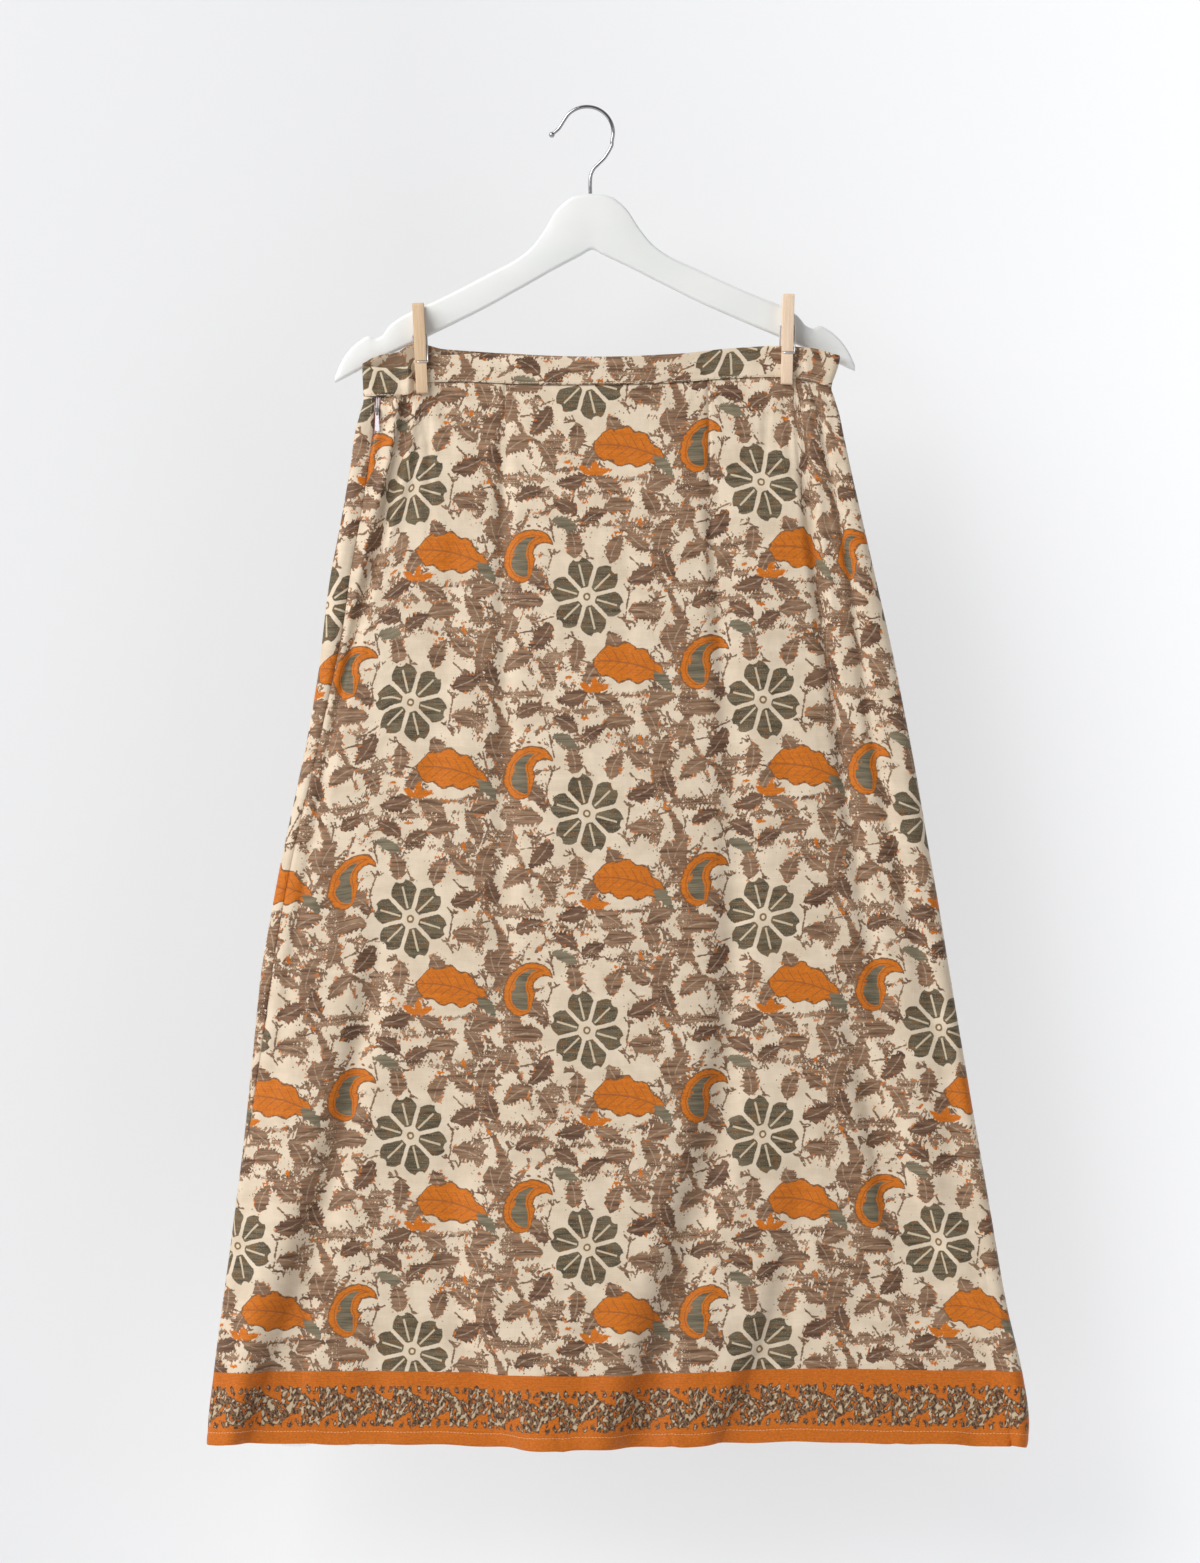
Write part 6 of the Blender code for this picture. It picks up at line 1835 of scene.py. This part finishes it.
# ====================================================================== stage
def build_stage():
    world = bpy.data.worlds.new("studio")
    bpy.context.scene.world = world
    world.use_nodes = True
    bg = world.node_tree.nodes["Background"]
    bg.inputs[0].default_value = (0.97, 0.98, 1.0, 1.0)
    bg.inputs[1].default_value = 0.17

    def sheet_of(name, corners, colour, one_sided=False, glow=0.0):
        mesh = bpy.data.meshes.new(name)
        mesh.from_pydata(corners, [], [(0, 1, 2, 3)])
        p = Paint(name)
        x, y, z = p.place()
        broad = p.noise(p.vec(x, y, z), 0.0012, 2.0, 0.5, dims="3D")
        fine = p.noise(p.vec(x, y, z), 0.3, 3.0, 0.6, dims="3D")
        p.feed("Base Color", p.mix(broad, tuple(c * 0.985 for c in colour), colour))
        p.feed("Roughness", fine * 0.1 + 0.85)
        p.set(Specular_IOR_Level=0.2)
        if glow:  # painted light: the backdrop glows evenly, and more to the right and towards the bottom, lightening the shade there
            p.set(Emission_Color=(0.972, 0.985, 1.0, 1.0))
            # painted light: extra glow to the right and towards the bottom lifts the shade on the wall
            p.feed("Emission Strength", (x.step(-150.0, 600.0) * 0.23).max((-z).step(800.0, 1250.0) * x.step(-520.0, -60.0) * 0.19) + glow)
        if one_sided:  # seen from behind, the backdrop does not hide the object
            geo = p.node("ShaderNodeNewGeometry")
            clear = p.node("ShaderNodeBsdfTransparent")
            mixer = p.node("ShaderNodeMixShader")
            out = p.t.nodes["Material Output"]
            p.t.links.new(geo.outputs["Backfacing"], mixer.inputs[0])
            p.t.links.new(p.bsdf.outputs[0], mixer.inputs[1])
            p.t.links.new(clear.outputs[0], mixer.inputs[2])
            p.t.links.new(mixer.outputs[0], out.inputs["Surface"])
        mesh.materials.append(p.mat)
        obj = bpy.data.objects.new(name, mesh)
        bpy.context.scene.collection.objects.link(obj)
        return obj

    wall_y, floor_z = 0.17, -1.42
    sheet_of("backdrop_wall", [(-2.6, wall_y, floor_z), (2.6, wall_y, floor_z), (2.6, wall_y, 1.4), (-2.6, wall_y, 1.4)],
             (0.36, 0.363, 0.370), one_sided=True, glow=0.455)
    sheet_of("studio_floor", [(-3.2, -3.2, floor_z), (3.2, -3.2, floor_z), (3.2, 3.2, floor_z), (-3.2, 3.2, floor_z)], (0.80, 0.80, 0.81))

    def area(name, at, to, size, power, colour=(1, 1, 1)):
        light = bpy.data.lights.new(name, "AREA")
        light.shape = "RECTANGLE"
        light.size, light.size_y = size
        light.energy = power
        light.color = colour
        obj = bpy.data.objects.new(name, light)
        obj.location = at
        obj.rotation_euler = (Vector(to) - Vector(at)).to_track_quat("-Z", "Y").to_euler()
        obj.visible_camera = False
        bpy.context.scene.collection.objects.link(obj)

    centre = (0.0, 0.0, -0.55)
    area("key_left", (-2.75, -2.75, 1.9), (0.0, 0.0, -0.55), (3.5, 3.3), 239.0, (1.0, 0.985, 0.965))
    area("fill_right", (1.9, -2.2, -0.1), centre, (1.2, 1.8), 10.0, (0.97, 0.985, 1.0))
    area("back_soft", (0.3, 2.6, 0.4), centre, (1.8, 1.6), 16.0)

    cam = bpy.data.cameras.new("camera")
    cam.sensor_width = 36.0
    cam.sensor_fit = "AUTO"
    away = 6.0
    cam.lens = 18.0 * away / (0.5 * 1563 * 0.806 * MM)
    cam.clip_start, cam.clip_end = 0.05, 20.0
    obj = bpy.data.objects.new("camera", cam)
    bpy.context.scene.collection.objects.link(obj)
    obj.location = (0.0105, -0.0143 - away, -0.5437)
    obj.rotation_euler = (PI / 2, 0.0, 0.0)
    bpy.context.scene.camera = obj
    view = bpy.context.scene.view_settings
    view.view_transform = "Standard"
    view.look = "None"
    view.exposure = 0.0
    view.gamma = 1.0


# ======================================================================= main
printed = print_material("printed_cloth_face")
reverse = print_material("printed_cloth_reverse_painted_shade", reverse=True)
border = plain_cloth("border_cloth_reverse", rgb(150, 80, 22), rgb(184, 104, 34))
tape = plain_cloth("zip_tape_cloth", rgb(206, 194, 196), rgb(226, 216, 218), pitch=(0.9, 0.6), rough=0.75)
coil = thread_material("zip_coil_nylon", rgb(224, 218, 216), rgb(240, 236, 236))
pale_thread = thread_material("pale_thread", rgb(226, 190, 150), rgb(240, 214, 180))
seam_thread = thread_material("seam_thread", rgb(208, 192, 168), rgb(234, 220, 198))
serge = thread_material("overlock_thread", rgb(206, 200, 190), rgb(238, 234, 226))
# painted shade: the placket lips' dark red-brown is partly the shade in the zip's gap
lip_red_brown_shade = thread_material("lip_red_brown_shade_thread", rgb(100, 42, 28), rgb(136, 62, 42))
paint = paint_material()
chrome = metal_material("chrome_plate", (0.42, 0.42, 0.43), 0.13, wear=0.05)
steel = metal_material("bright_spring_steel", (0.80, 0.80, 0.82), 0.30, wear=0.06)
dull = metal_material("slider_metal", (0.36, 0.33, 0.31), 0.34, wear=0.12)
beech_l = beech_material("beech_left", rgb(208, 182, 151), rgb(194, 165, 132), -0.049)
beech_r = beech_material("beech_right", rgb(226, 204, 182), rgb(212, 185, 156), 0.024)

build_stage()
panels = build_panels([printed, reverse])
band_grid, band_n, band_angles, band_obj = build_band([printed, reverse])
build_hems(panels, border, pale_thread, serge)
loose_edges(panels, serge)
build_zip(tape, coil, dull, None, None)
placket_edges(panels, lip_red_brown_shade, seam_thread)

# stitch line along the band's lower edge, front and back
low, low_n = band_grid[-3], band_n[-3]
row = stitch_row("waist_stitches", low, low_n, seam_thread, length=2.4, gap=0.45, radius=0.23, start=3.0, stop=-3.0, lift=0.66)
on_root(row)

build_hanger(paint, chrome)
build_pegs((beech_l, beech_r), steel)

pull_paint = Paint("zip_tab_lacquer")
px, py, pz = pull_paint.place()
rub = pull_paint.noise(pull_paint.vec(px, py, pz), 0.6, 3.0, 0.6, dims="3D")
pull_paint.feed("Base Color", pull_paint.mix(rub.step(0.45, 0.7), rgb(232, 226, 232), rgb(206, 198, 206)))
pull_paint.feed("Roughness", rub * 0.2 + 0.3)
pull_paint.set(Specular_IOR_Level=0.5, Coat_Weight=0.3)
pull_paint.bump(rub * 0.05, 0.5)
for node, mat in (("zip_slider", dull), ("zip_pull", pull_paint.mat)):
    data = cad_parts[node].data
    data.materials.clear()
    data.materials.append(mat)
